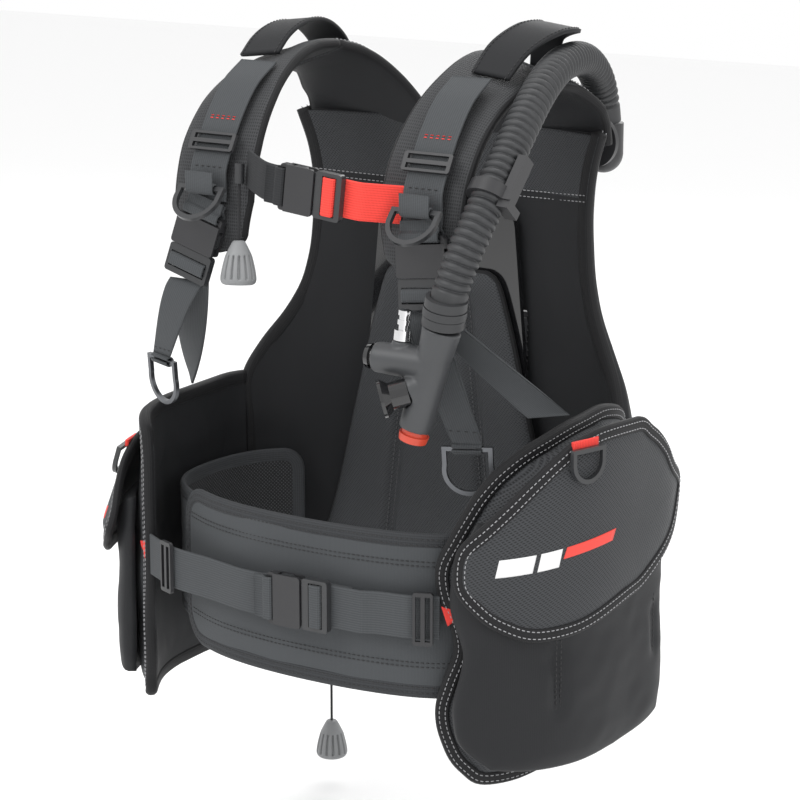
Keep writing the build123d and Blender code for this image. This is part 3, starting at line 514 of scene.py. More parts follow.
def bind_profile(thickness, width=BIND_WIDTH):
    """Folded binding tape round an edge of the given thickness, the edge at 0 and the panel to the left."""
    t = thickness / 2 + 0.0011
    upper = [(width, t - 0.0006), (width * 0.93, t), (0.001, t + 0.0002), (-0.0014, t * 0.5), (-0.0017, 0)]
    return [(width, -t + 0.0006)] + upper + [(x, -y) for x, y in upper[3:0:-1]]


def bind(name, path, normals, thickness, body="vest", closed=False, thread="thread", width=BIND_WIDTH,
         rows=(0.25, 0.72), mat="binding"):
    """Binding tape along an edge, with two rows of stitches."""
    at, up = resample(path, normals, 0.004, closed)
    sweep(name, at, up, bind_profile(thickness, width), [mat], body, closed)
    for row in rows:
        line = inset(at, up, width * row, closed)
        stitch(line, up, thread, body, closed, thickness / 2 + 0.0013)


# ---------------------------------------------------------------- soft panels
def ease(x):
    x = np.clip(x, 0, 1)
    return x * x * (3 - 2 * x)


def puff(away, reach, height):
    """Rise of a padded panel by the distance from its edge, round like a pillow."""
    t = np.clip(away / reach, 0, 1)
    return height * np.sqrt(np.maximum(0, 1 - (1 - t) ** 2.4))


# The wings: the padded sides of the jacket, from the side seam to the front edge.
LOBE_SEAM = 62.3
LEFT_WING = dict(
    bottom=[(62.8, -287), (76, -287.5), (89, -282), (103, -290), (116, -295), (127, -295), (134, -283)],
    top=[(62.8, -3), (66, 9), (69, 15), (78, 24), (86, 27.5), (91, 25), (97, 21), (111, 9), (121, -6.5)],
    left=[(62.8, -287), (62.8, -230), (62.8, -140), (62.8, -60), (62.8, -3)],
    right=[(134, -283), (141, -253), (142.8, -225), (140, -197), (136.3, -168), (138, -145), (141.7, -122),
           (142.5, -90), (138.3, -67), (134, -47), (128, -24), (121, -6.5)],
)
RIGHT_WING = dict(
    bottom=[(62.8, -287), (76, -288), (92, -287), (106, -290), (114, -294), (121, -290)],
    top=[(62.8, -8), (70, -8), (80, -9.5), (95, -10), (110, -11), (120, -14), (126, -18)],
    left=[(62.8, -287), (62.8, -230), (62.8, -140), (62.8, -60), (62.8, -8)],
    right=[(121, -290), (125, -268), (127, -247), (126, -216), (128, -188), (130, -167), (131, -127),
           (130.5, -88), (131, -58), (130, -35), (126, -18)],
)
EDGE = 0.0085  # thickness of a wing at its bound edge
BORDER = 0.0125  # the flat bound edge of a wing or flap


def towards_top(z):
    """0 below the flaps' middle and 1 above it, where the right wing hangs slackest."""
    return np.clip((np.asarray(z) + 0.120) / 0.080, 0, 1)


def slack(side, z):
    """How much closer to the loop the slacker right wing lies."""
    return 0 * towards_top(z) if side > 0 else (14 + 10 * towards_top(z)) / 1000


def wing(name, outline, side, seed):
    p = Patch(**outline, nu=120, nv=140, side=side)
    from_seam = p.s - arc(LOBE_SEAM)
    share = from_seam / (arc(outline["right"][5][0]) - arc(LOBE_SEAM))
    seam_side = ease(np.abs(from_seam) / 0.03)
    full = 0.019 + 0.010 * np.sin(np.pi * np.clip(share, 0, 0.9))
    top = 1 - 0.45 * ease((p.z - 0.0) / 0.03)
    front = 1 - 0.75 * ease((share - 0.72) / 0.28)
    full = np.maximum(full - slack(side, p.z), 0.003)
    inside = np.maximum(p.away - BORDER, 0)
    rise = puff(inside, 0.038, 1.0) * full * top * front
    within = ease((0.29 - np.abs(p.z)) / 0.02) * ease((-p.z) / 0.05)
    seam_rise = (0.016 - 0.5 * slack(side, p.z)) * (1 - seam_side) * within
    wrinkles = waves(p.s, p.z * 0.55, 0.045, seed) * 0.0022 + waves(p.s, p.z, 0.11, seed + 1) * 0.003
    wrinkles = wrinkles * ease(inside / 0.02)
    outer = EDGE + np.maximum(rise, seam_rise) + wrinkles
    sag = waves(p.s * 0.8, p.z * 0.6, 0.07, seed + 3) * 0.0022
    sag += waves(p.s, p.z * 0.4, 0.03, seed + 4) * 0.0008
    inner = -0.0006 - np.abs(sag) * ease(inside / 0.02)
    obj = p.shell(name, inner, outer, ["ribbed_nylon", "smooth_nylon"])
    free_edge = outline["bottom"] + outline["right"][1:] + outline["top"][::-1][1:]
    path, up = loop_line(free_edge, EDGE / 2, side)
    if side > 0:
        path, up = path[::-1], up[::-1]
    bind(f"{name}_binding", path, up, EDGE)
    return obj, p, outer


left_wing, left_patch, left_outer = wing("left_wing", LEFT_WING, 1, 11)
right_wing, right_patch, right_outer = wing("right_wing", RIGHT_WING, -1, 23)


def stuffed(obj, node):
    """Hides the CAD node that a padded piece stands for."""
    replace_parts(obj, node)


stuffed(left_wing, "lobe_left")
stuffed(right_wing, "lobe_right")


# The pockets: full cargo pockets sewn on the wings.
def edge_draw(angle):
    """How far the front parts are drawn in towards the wing's front edge."""
    return 20 * np.maximum(0, (np.abs(angle) - 112) / 38) ** 1.6 / 1000


def pocket_base(angle, z, side):
    """The offset of a pocket's face from the loop."""
    return 0.037 - edge_draw(angle) - slack(side, z)


def flap_base(angle, z, side):
    """The offset of a flap's underside from the loop."""
    return (0.056 if side > 0 else 0.042 - 0.024 * towards_top(z)) - edge_draw(angle)


POCKET = dict(
    bottom=[(70, -272), (84, -275), (98, -277), (112, -275), (126, -271)],
    top=[(70, -45), (90, -44), (110, -44), (130, -46)],
    left=[(70, -272), (66, -240), (65, -165), (66, -100), (70, -45)],
    right=[(126, -271), (135, -248), (137, -225), (134, -165), (138, -120), (137, -90), (130, -46)],
)
RIGHT_POCKET = dict(
    bottom=[(70, -271), (84, -274), (98, -275), (108, -274), (116, -271)],
    top=[(70, -92), (86, -91), (104, -91), (120, -92)],
    left=[(70, -271), (66, -240), (65, -165), (66, -125), (70, -92)],
    right=[(116, -271), (120, -250), (121, -235), (121.6, -165), (122.6, -125), (120, -92)],
)


DARTS = ((108, -0.232, -0.150), (76.5, -0.215, -0.150))  # angle, foot and head
DART_SEAMS = ((108.6, -232, -150), (107.2, -232, -150), (77, -215, -150))


def pocket(name, outline, side, seed):
    p = Patch(**outline, nu=90, nv=110, side=side)
    base = pocket_base(p.angle, p.z, side)
    wrinkles = waves(p.s * 0.8, p.z * 0.6, 0.05, seed) * 0.0028 + waves(p.s, p.z, 0.02, seed + 5) * 0.0006
    dart = np.zeros_like(p.s)
    for angle, low, high in DARTS:
        reach = (p.s - arc(angle)) / 0.006
        dart += np.exp(-reach**2) * ease((p.z - low) / 0.02) * ease((high - p.z) / 0.02)
    sag = 0.0025 * ease((-0.16 - p.z) / 0.06)
    full = puff(p.away, 0.030, 0.0105) * (1 if side > 0 else 0.9)
    outer = base + 0.002 + full + sag + wrinkles * ease(p.away / 0.02) - 0.0045 * dart
    return p.shell(name, base - 0.004, outer, ["smooth_nylon", "smooth_nylon"])


stuffed(pocket("left_pocket", POCKET, 1, 31), "pocket_left")
stuffed(pocket("right_pocket", RIGHT_POCKET, -1, 37), "pocket_right")
for side in (1, -1):
    for angle, low, high in DART_SEAMS:
        line, up = loop_line([(angle, high), (angle, low)], 0, side)
        base = pocket_base(angle, line[:, 2], side) + (0.0125 if side > 0 else 0.0112)
        stitch(line + up * base[:, None], up, "dark_thread")

# The flaps: stiff ribbed covers hinged at their top edge, with bound edges.
FLAP_OUTLINE = dict(
    bottom=[(66, -62), (74, -98), (83, -117), (94, -136), (107, -147), (116, -147), (125, -136), (132, -118)],
    top=[(72, -28), (78, -4), (85, 17), (92, 32), (98, 32.5), (105, 27), (111, 15), (117, -2)],
    left=[(66, -62), (65, -50), (68, -38), (72, -28)],
    right=[(132, -118), (135.5, -104), (136.5, -83), (135, -62), (129, -42), (123, -22), (117, -2)],
)
RIGHT_FLAP_OUTLINE = dict(
    bottom=[(66, -98), (74, -121), (83, -132), (93, -144), (104, -150), (111, -150), (117, -143),
            (121, -132)],
    top=[(72, -77), (78, -62), (85, -49), (91, -40), (96, -39.5), (102, -43), (107, -50), (113, -61)],
    left=[(66, -98), (65, -91), (68, -83), (72, -77)],
    right=[(121, -132), (123.5, -124), (124.4, -111), (123.4, -98), (120.5, -86), (117, -73), (113, -61)],
)
FLAP_THICK = 0.0045


def flap(name, side, body, seed):
    outline = FLAP_OUTLINE if side > 0 else RIGHT_FLAP_OUTLINE
    p = Patch(**outline, nu=100, nv=90, side=side)
    base = flap_base(p.angle, p.z, side)
    crown = puff(np.maximum(p.away - BORDER, 0), 0.035, 0.0024)
    wrinkles = waves(p.s, p.z, 0.07, seed) * 0.0009
    outer = base + FLAP_THICK + crown + wrinkles * ease(p.away / 0.02)
    obj = p.shell(name, base, outer, ["ribbed_nylon", "smooth_nylon"], body)
    around = outline["bottom"] + outline["right"][1:] + outline["top"][::-1][1:] + outline["left"][::-1][1:]
    line, up = loop_line(around, 0, side)
    angles = curve(np.asarray(around, float), len(line))[:, 0]
    line = line + up * (flap_base(angles, line[:, 2], side) + FLAP_THICK / 2)[:, None]
    if side > 0:
        line, up = line[::-1], up[::-1]
    bind(f"{name}_binding", line[:-1], up[:-1], FLAP_THICK, body, closed=True, rows=(0.2, 0.75))
    return obj, p, outer


left_flap, left_flap_patch, left_flap_outer = flap("left_flap", 1, "flap_left", 41)
right_flap, right_flap_patch, right_flap_outer = flap("right_flap", -1, "flap_right", 43)
stuffed(left_flap, "pocket_flap_left")
stuffed(right_flap, "pocket_flap_right")


# ---------------------------------------------------------------- the back of the jacket
# (z mm, angle) up the edge of the back
BACK_EDGE = [(-288, 60.6), (-262, 61.6), (-200, 62), (-130, 62), (-60, 62), (-6, 61.5), (20, 54),
             (54, 42.5), (80, 36.5), (110, 33), (150, 31.2), (190, 31), (225, 33), (256, 37)]
BACK_SEAM_Z = 0.195  # woven cloth above it, smooth below


def back_offsets(p):
    """Inner and outer offsets of the back: a thin middle for the backpack, and air cells at its sides."""
    middle = ease((np.abs(p.angle) - 8) / 9)
    z = p.z * 1000
    full = np.interp(z, [-288, -262, -130, -6, 54, 110, 190, 258], [10, 19, 21, 23, 23, 21, 20, 12]) / 1000
    cell = puff(p.away, 0.05, 1.0) * (full - EDGE) * middle
    lump = waves(p.s, p.z * 0.5, 0.07, 51) * 0.003 + waves(p.s * 0.7, p.z, 0.03, 52) * 0.0011
    outer = 0.0045 + (EDGE - 0.0045) * middle + cell + lump * middle * ease(p.away / 0.03)
    soft = waves(p.s, p.z * 0.6, 0.08, 53) * 0.0016 + waves(p.s, p.z * 0.4, 0.03, 54) * 0.0007
    inner = -0.0008 * middle - soft * ease(p.away / 0.025) * middle
    return inner, outer


back_patch = Patch(
    bottom=[(-60.6, -288), (-30, -289), (0, -289), (30, -289), (60.6, -288)],
    top=[(-37, 256), (-20, 257), (0, 257.5), (20, 257), (37, 256)],
    left=[(-a, z) for z, a in BACK_EDGE],
    right=[(a, z) for z, a in BACK_EDGE],
    nu=180,
    nv=190,
)
WINDOW = (0.086, 0.080)  # half width and height of the hole that the band passes through


def open_shell(name, p, inner, outer, hole, mats, looks):
    """A panel with a hole, a rim round every free edge, and each cell's look on both faces."""
    quads, count = grid_faces(p.nu, p.nv), p.nu * p.nv
    keep = ~hole(p.points(outer).reshape(-1, 3)[quads].mean(axis=1))
    kept = quads[keep]
    edges = {edge: True for quad in kept for edge in zip(quad, np.roll(quad, -1))}
    free = np.array([e for e in edges if (e[1], e[0]) not in edges])
    side = np.stack([free[:, 1], free[:, 0], free[:, 0] + count, free[:, 1] + count], -1)
    faces = np.concatenate([kept[:, ::-1], kept + count, side[:, ::-1]])
    picks = np.r_[looks[keep], looks[keep], np.zeros(len(side), int)]
    verts = np.concatenate([p.points(outer).reshape(-1, 3), p.points(inner).reshape(-1, 3)])
    return make(name, verts, faces, mats, picks, np.concatenate([p.uv.reshape(-1, 2)] * 2))


back_inner, back_outer = back_offsets(back_patch)
cell_z = (back_patch.z[:-1, :-1] + back_patch.z[1:, 1:]).ravel() / 2
back = open_shell(
    "back_bladder",
    back_patch,
    back_inner,
    back_outer,
    lambda c: (np.abs(c[:, 0]) < WINDOW[0]) & (np.abs(c[:, 2]) < WINDOW[1]),
    ["smooth_nylon", "ribbed_nylon"],
    (cell_z > BACK_SEAM_Z).astype(int),
)
stuffed(back, "bladder_back")
for side in (1, -1):
    edge = [(a, z) for z, a in BACK_EDGE]
    line, up = loop_line(edge, EDGE / 2, side)
    if side > 0:
        line, up = line[::-1], up[::-1]
    bind(f"armhole_binding_{'left' if side > 0 else 'right'}", line, up, EDGE)
for height in (190, 196):  # the seam between the woven yoke and the smooth back, on the wearer's side
    row = [(a, height + 3 * (a / 30) ** 2) for a in np.linspace(-30, 30, 13)]
    line, up = loop_line(row, 0.0, 1)
    stitch(line - up * 0.0011, -up, "thread")


# ---------------------------------------------------------------- strips: pads, yokes, handles and webbing
def strip(name, centres, across, widths, thickness, mats, edge, crown=0.0, columns=26, up_hint=(0, -1, 0.4),
          relief=None, round_start=0.0):
    """A padded strip along a line. mats are its upper and lower face. Returns the object and its surface."""
    centres, across = np.asarray(centres, float), np.asarray(across, float)
    reach = reach_of(centres)
    rows = int(reach[-1] / 0.004)
    line = curve(centres, rows)
    at = np.linspace(0, reach[-1], rows)
    side = unit(np.stack([np.interp(at, reach, across[:, k]) for k in range(3)], -1))
    width = np.interp(at, reach, widths)
    if round_start:
        width = width * np.sqrt(np.clip(1 - (1 - np.clip(at / round_start, 0, 1)) ** 2, 0.03, 1))
    up = unit(np.cross(np.gradient(line, axis=0), side))
    up *= np.where(np.sum(up * np.asarray(up_hint), axis=1) < 0, -1, 1)[:, None]
    v = np.linspace(-1, 1, columns)
    v = np.sign(v) * np.abs(v) ** 0.8
    sideways = width[:, None] / 2 * v[None, :]
    from_edge = width[:, None] / 2 - np.abs(sideways)
    from_end = np.minimum(at, reach[-1] - at)[:, None]
    away = np.minimum(from_edge, from_end + (0 if round_start else 1))
    half = edge / 2 + (thickness - edge) / 2 * puff(away, 0.014, 1.0)
    rise = half + crown * puff(away, 0.03, 1.0)
    top = rise + (0 if relief is None else relief(at[:, None], sideways, away))
    base = line[:, None] + side[:, None] * sideways[..., None]
    upper = base + up[:, None] * top[..., None]
    lower = base - up[:, None] * half[..., None]
    front, back, rim = sheet_faces(rows, columns)
    if np.dot(np.cross(line[1] - line[0], side[0]), up[0]) < 0:
        front, back = front[:, ::-1], back[:, ::-1]
    picks = np.r_[np.zeros(len(front), int), np.ones(len(back), int), np.zeros(len(rim), int)]
    uv = np.stack([np.broadcast_to(at[:, None], sideways.shape), sideways], -1).reshape(-1, 2)
    verts = np.concatenate([upper.reshape(-1, 3), lower.reshape(-1, 3)])
    obj = make(name, verts, np.concatenate([front, back, rim]), mats, picks, np.concatenate([uv, uv]))

    def row(sidewards, lift):
        """A line on the upper face, its distance from the middle as a share of the half width."""
        j = np.interp(sidewards, v, np.arange(columns))
        low, part = int(j), j - int(j)
        high = min(low + 1, columns - 1)
        return upper[:, low] * (1 - part) + upper[:, high] * part + up * lift, up

    def across_row(share, first, last, lift):
        """A line across the upper face, at a share of its length."""
        i = int(share * (rows - 1))
        keep = (v >= first) & (v <= last)
        return upper[i, keep] + up[i] * lift, np.tile(up[i], (keep.sum(), 1))

    outline = np.concatenate([base[:, 0], base[-1, 1:], base[::-1, -1][1:], base[0, ::-1][1:-1]])
    ends = [np.tile(up[-1], (columns - 1, 1)), up[::-1][1:], np.tile(up[0], (columns - 2, 1))]
    outline_up = np.concatenate([up] + ends)
    return obj, row, across_row, (outline, outline_up)


def strip_stations(rows, side):
    """Centres, across vectors and widths from (x, y, z, width, tilt) rows in mm, on the given side."""
    rows = np.asarray(rows, float)
    turn = np.radians(rows[:, 4])
    across = np.stack([np.cos(turn), np.zeros(len(rows)), -side * np.sin(turn)], -1)
    return rows[:, :3] / 1000 * [side, 1, 1], across, rows[:, 3] / 1000


PAD = [(110, -334, 156, 44, 0), (111, -336, 172, 70, 0), (112, -334, 205, 84, 0), (113, -320, 250, 84, 2),
       (115, -290, 287, 80, 7), (117, -250, 311, 74, 14), (117, -205, 322, 72, 19), (117, -171, 320, 72, 20)]
YOKE = [(117, -169, 319, 72, 20), (114, -136, 309, 88, 13), (108, -109, 285, 120, 5), (100, -98, 265, 134, 0),
        (99, -94, 246, 136, 0)]


def edge_bound(name, outline, thickness, thread="thread", mat="binding"):
    """Binding round a strip's whole outline."""
    line, up = outline
    inward = inset(line, up, 0.001, True)
    middle = line.mean(axis=0)
    if np.mean(np.linalg.norm(inward - middle, axis=1)) > np.mean(np.linalg.norm(line - middle, axis=1)):
        line, up = line[::-1], up[::-1]
    bind(name, line, up, thickness, "vest", True, rows=(0.3, 0.78), thread=thread, mat=mat)


PAD_THICK = 0.0115
SIDES = (("left", 1), ("right", -1))
for word, side in SIDES:

    def dimples(at, sideways, away, seed=61 + side):
        return waves(at, sideways, 0.03, seed) * 0.0007 * ease(away / 0.012)

    pad, _, _, outline = strip(f"shoulder_pad_look_{word}", *strip_stations(PAD, side), PAD_THICK,
                               ["pad_weave", "spacer_mesh"], edge=0.006, crown=0.001, relief=dimples,
                               round_start=0.012)
    stuffed(pad, f"shoulder_pad_{word}")
    edge_bound(f"pad_binding_{word}", outline, 0.006)

yoke_parts = []
for word, side in SIDES:
    yoke, row, _, outline = strip(f"yoke_{word}", *strip_stations(YOKE, side), PAD_THICK,
                                  ["ribbed_nylon", "smooth_nylon"], edge=0.007, crown=0.001,
                                  up_hint=(0, 0.3, 1),
                                  relief=lambda at, sideways, away: waves(at, sideways, 0.04, 71) * 0.001)
    yoke_parts.append(yoke)
    for share in (0.9, -0.9):
        stitch(*row(share, 0.0006))
    edge_bound(f"yoke_binding_{word}", outline, 0.007)
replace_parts(yoke_parts[0], "shoulder_yokes")

# (x, y, z, width) in mm along each carrying loop
HANDLES = {
    "left": [(126, -244, 322, 38), (134, -226, 344, 42), (146, -192, 360, 46), (147, -157, 359, 44),
             (122, -134, 346, 32), (112, -124, 317, 28)],
    "right": [(-124, -244, 326, 44), (-124, -226, 340, 44), (-124, -192, 351, 44), (-124, -157, 347, 44),
              (-122, -134, 330, 44), (-120, -124, 313, 44)],
}
handle_parts = []
for word, rows in HANDLES.items():
    rows = np.asarray(rows, float)
    across = np.stack([np.ones(len(rows)), np.zeros(len(rows)), -np.sign(rows[:, 0]) * 0.12], -1)
    handle, row, _, _ = strip(f"carry_handle_{word}", rows[:, :3] / 1000, unit(across), rows[:, 3] / 1000,
                              0.0042, ["smooth_nylon"] * 2, edge=0.003, up_hint=(0, 0, 1), columns=18)
    handle_parts.append(handle)
    for share in (0.86, -0.86):
        stitch(*row(share, 0.0004), "dark_thread")
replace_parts(handle_parts[0], "shoulder_handles")


class Frame:
    """A plane in mm with its x along a strap and its z off the wearer."""

    def __init__(self, origin, x, z):
        self.origin = np.asarray(origin, float)
        self.z = unit(np.asarray(z, float))
        self.y = unit(np.cross(self.z, np.asarray(x, float)))
        self.x = np.cross(self.y, self.z)

    def at(self, u, v, w):
        """Points in metres: u along the strap, v off the wearer, w across."""
        out = np.multiply.outer
        return (self.origin + out(u, self.x) + out(w, self.y) + out(v, self.z)) / 1000

    def flat(self, points):
        local = np.asarray(points, float) - self.origin
        return np.stack([local @ self.x, local @ self.z], -1)


FOLD_RADIUS = 2.2


def softened(points):
    """A polyline with its corners rounded."""
    points = np.asarray(points, float)
    out = [points[0]]
    for a, b, c in zip(points, points[1:], points[2:]):
        la, lc = np.linalg.norm(a - b), np.linalg.norm(c - b)
        cut = min(FOLD_RADIUS, 0.48 * la, 0.48 * lc)
        p, q = b + (a - b) / la * cut, b + (c - b) / lc * cut
        for t in np.linspace(0, 1, 6):
            out.append((1 - t) ** 2 * p + 2 * t * (1 - t) * b + t * t * q)
    out.append(points[-1])
    return np.array(out)


WEB, WEB_WIDTH = 2.5, 40  # webbing in mm


def web_sweep(name, plane, path, profile, mat, flip, flip_caps):
    """Sweeps a profile of (across, off) points in mm along a path in a plane."""
    way = unit(np.gradient(path, axis=0))
    off = np.stack([-way[:, 1], way[:, 0]], -1)
    local = path[:, None] + off[:, None] * profile[None, :, 1:]
    across = np.broadcast_to(profile[:, 0], local.shape[:2])
    verts = plane.at(local[..., 0].ravel(), local[..., 1].ravel(), across.ravel())
    n, m = len(path), len(profile)
    uv = np.stack([np.repeat(reach_of(path) / 1000, m), np.tile(profile[:, 0] / 1000, n)], -1)
    return make(name, verts, hoop_faces(n, m, flip, flip_caps), [mat], None, uv), off


def strap(name, plane, own, far, width, mat):
    """Webbing seen edge on in a plane: own is its folded path at a buckle, far a smooth run on from it."""
    path = softened(own)
    if len(far):
        run = curve(np.vstack([own[-2:], far]), 60)
        start = np.argmin(np.linalg.norm(run - np.asarray(own[-1]), axis=1)) + 1
        path = np.vstack([path, run[start:]])
    keep = np.r_[True, np.linalg.norm(np.diff(path, axis=0), axis=1) > 0.15]
    path = path[keep]
    half = width / 2
    margin = np.array([0, 0.5, 1.8, 3.0])
    a = np.r_[margin - half, np.linspace(-half + 5, half - 5, 7), half - margin[::-1]]
    b = WEB / 2 * np.r_[0.35, 0.86, 1.0, 0.86, [0.92] * 7, 0.86, 1.0, 0.86, 0.35]
    profile = np.stack([np.r_[a, a[::-1]], np.r_[b, -b[::-1]]], -1)
    obj, off = web_sweep(name, plane, path, profile, mat, True, False)
    return obj, path, off


def tack(plane, path, off, where, width, thread, rows=1, pitch=1.6):
    """Rows of stitches across a strap's under side, at a distance along its path in mm."""
    reach = reach_of(path)
    for k in range(rows):
        i = int(np.argmin(np.abs(reach - where - k * pitch)))
        p = path[i] - off[i] * (WEB / 2 + 0.25)
        w = np.linspace(-width / 2, width / 2, 12)
        line = plane.at(np.full(12, p[0]), np.full(12, p[1]), w)
        up = -off[i][0] * plane.x - off[i][1] * plane.z
        stitch(line, np.tile(up, (12, 1)), thread)


# the folds of webbing at the two halves of a buckle, in mm along and off its plane
FOLD_END = [(-46, 8.2), (-36, 8.2), (-34.3, 11.4), (-27.4, 11.4), (-27.4, 0), (-34.3, 0), (-38, 4.4)]
LADDER_END = [(52, -3.0), (14.3, -3.0), (14.3, 10.8), (24.3, 10.8), (24.3, 0.2), (40, 0.2)]
WAIST_Z = -139.0
waist_plane = Frame((26, -398, WAIST_Z), (1, 0.02, 0), (0.02, -1, 0))
chest_plane = Frame((21, -366, 227), (1, 0.03, -0.11), (0.03, -1, 0))
WAIST_RIGHT = ((-80, -392), (-135, -381), (-174, -361))
WAIST_LEFT = ((96, -393), (134, -384), (156.2, -373.8))
waist_runs = [waist_plane.flat([(x, y, WAIST_Z) for x, y in run]) for run in (WAIST_RIGHT, WAIST_LEFT)]
BELTS = (
    ("waist", "right", waist_plane, FOLD_END + [(-60, 3)], waist_runs[0], WEB_WIDTH, "grey_web"),
    ("waist", "left", waist_plane, LADDER_END + [(62, 0.2)], waist_runs[1], WEB_WIDTH, "grey_web"),
    ("chest", "right", chest_plane, FOLD_END + [(-46, 3.4)], [(-68, -10), (-90.5, -29)], 34, "black_web"),
    ("chest", "left", chest_plane, LADDER_END[1:] + [(44, 0)], [(58, -8), (76.6, -21.5)], 34, "red_web"),
)
for belt, word, plane, own, far, width, mat in BELTS:
    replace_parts(strap(f"{belt}_strap_{word}", plane, own, far, width, mat)[0], f"{belt}_webbing_{word}")

WEB_X = {"left": 119.0, "right": -111.0}
LEAN = {"left": 0.12, "right": -0.28}
LOWER_END = {"left": (216.0, -290.0, 34.0), "right": (-214.0, -240.0, 2.0)}
TAIL_END = {"left": (152.0, -322.0, 8.0), "right": (-182.0, -327.0, 48.0)}
shoulder_parts, lower_parts, tail_parts = [], [], []


def eye_fold(name, plane, width, reach, wire):
    """The fold of webbing that holds a ring's bar, with its flat end sewn down."""
    half, thin = width / 2, 0.9
    radius = 0.71 * wire + 0.4 + thin
    path = [(-reach, radius)] if reach > 2 else []
    path += [(radius * np.sin(t), radius * np.cos(t)) for t in np.radians(np.linspace(0, 330, 16))]
    upper = [(-half, 0.5), (-half + 0.8, thin), (half - 0.8, thin), (half, 0.5)]
    profile = np.array(upper + [(x, -y) for x, y in upper[::-1]])
    return web_sweep(name, plane, np.array(path), profile, "grey_web", True, True)[0]


# (y, z) in mm of the shoulder webbing, up from its ring and back over the shoulder
OVER_SHOULDER = ((-343.6, 232), (-333.8, 252.3), (-317.4, 278.7), (-293, 305.4), (-263.5, 322))
for word, side in SIDES:
    lean, x = LEAN[word], WEB_X[word]
    plane = Frame((x + 40 * lean, -346, 162), (lean, -0.12, -1), (0, -1, 0.12))
    upright = Frame((x, -346, 162), (0, -0.12, -1), (0, -1, 0.12))
    far = upright.flat([(x, y, z) for y, z in OVER_SHOULDER])
    own = [(-42, 3.4), (-46, 3.4)]
    lie, path, off = strap(f"shoulder_strap_{word}", upright, own, far, WEB_WIDTH, "grey_web")
    tack(upright, path, off, 32, 26, "dark_thread")
    tack(upright, path, off, 78, 24, "red_thread", rows=3, pitch=0.9)
    fold = strap(f"buckle_fold_{word}", plane, FOLD_END + [(-44, 3.4)], [], WEB_WIDTH, "grey_web")[0]
    bar = Frame((x, -354.4, 216), (0, 0, -1), (0, -1, 0))
    shoulder_parts += [lie, fold, eye_fold(f"ring_fold_{word}", bar, 30, 16, 4.4)]

    own = [(33.5, -3.4)] + LADDER_END[1:4] + [(24.3, 0.4), (33.5, 0.4)]
    tail_parts.append(strap(f"ladder_fold_{word}", plane, own, [], WEB_WIDTH, "grey_web")[0])
    behind = plane.origin + plane.x * 36 - plane.z * 5.2
    front = plane.origin + plane.x * 34 + plane.z * 0.6
    share = np.linspace(0, 1, 14)[:, None]

    def hanging(name, line, degrees, widths):
        """Webbing that hangs from the buckle and turns by the given degrees along its length."""
        turn = np.radians(degrees)
        across = np.stack([side * np.cos(turn), np.sin(turn), 0 * turn], -1)
        return strip(f"{name}_{word}", line / 1000, across, widths / 1000, WEB / 1000, ["grey_web"] * 2,
                     edge=0.0018, columns=14, up_hint=(0, -1, 0.2))

    lower = behind * (1 - share) + np.array(LOWER_END[word]) * share
    lower_parts.append(hanging("lower_strap", lower, 50 * share[:, 0] ** 2, np.full(14, 39.0))[0])
    bulge = 7 * np.sin(np.pi * share ** 0.6) * [0, 1, 0]
    tail = front * (1 - share) + np.array(TAIL_END[word]) * share - bulge
    piece, _, across_row, _ = hanging("tail_strap", tail, 20 * share[:, 0], WEB_WIDTH - 12 * share[:, 0])
    stitch(*across_row(0.93, -0.8, 0.8, 0.0003), "dark_thread")
    end = np.array(TAIL_END[word])
    tail_bar = Frame(end - [0, 0, 5.0], (0, 0.1, -1), (side * 0.34, -0.94, -0.094))
    tail_parts += [piece, eye_fold(f"tail_fold_{word}", tail_bar, 27, 1.0, 4.0)]
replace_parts(shoulder_parts[0], "shoulder_webbings")
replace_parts(lower_parts[0], "lower_webbings")
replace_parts(tail_parts[0], "tail_webbings")


# ---------------------------------------------------------------- back pad, cummerbund and cylinder band
class FlatPatch(Patch):
    """A panel on the upright plane of the wearer's back, its edge curves in (x, z) mm."""

    depth = -0.1145

    def __init__(self, **outline):
        super().__init__(**outline)
        self.x = self.angle / 1000
        self.s = self.x
        self.measure()

    def points(self, offset):
        return np.stack([self.x, self.depth - np.broadcast_to(offset, self.x.shape), self.z], -1)


PAD_BOTTOM = [(-134, -187), (-128, -192), (-115, -195), (0, -196), (115, -195), (128, -192), (134, -187)]
PAD_TOP = [(-57, 112), (-50, 115.5), (-40, 116), (0, 116), (40, 116), (50, 115.5), (57, 112)]
PAD_SIDE = [(-134, -187), (-138.3, -178), (-136, -166), (-130.4, -150), (-97, -20), (-71.3, 80), (-65.5, 98),
            (-62, 106), (-57, 112)]
back_panel = FlatPatch(bottom=PAD_BOTTOM, top=PAD_TOP, left=PAD_SIDE, right=[(-x, z) for x, z in PAD_SIDE],
                       nu=110, nv=130)


def channel_x(z):
    """The distance of the two sewn channels from the middle, less towards the narrow top."""
    return 0.44 * (0.142 - 0.257 * (z + 0.195))


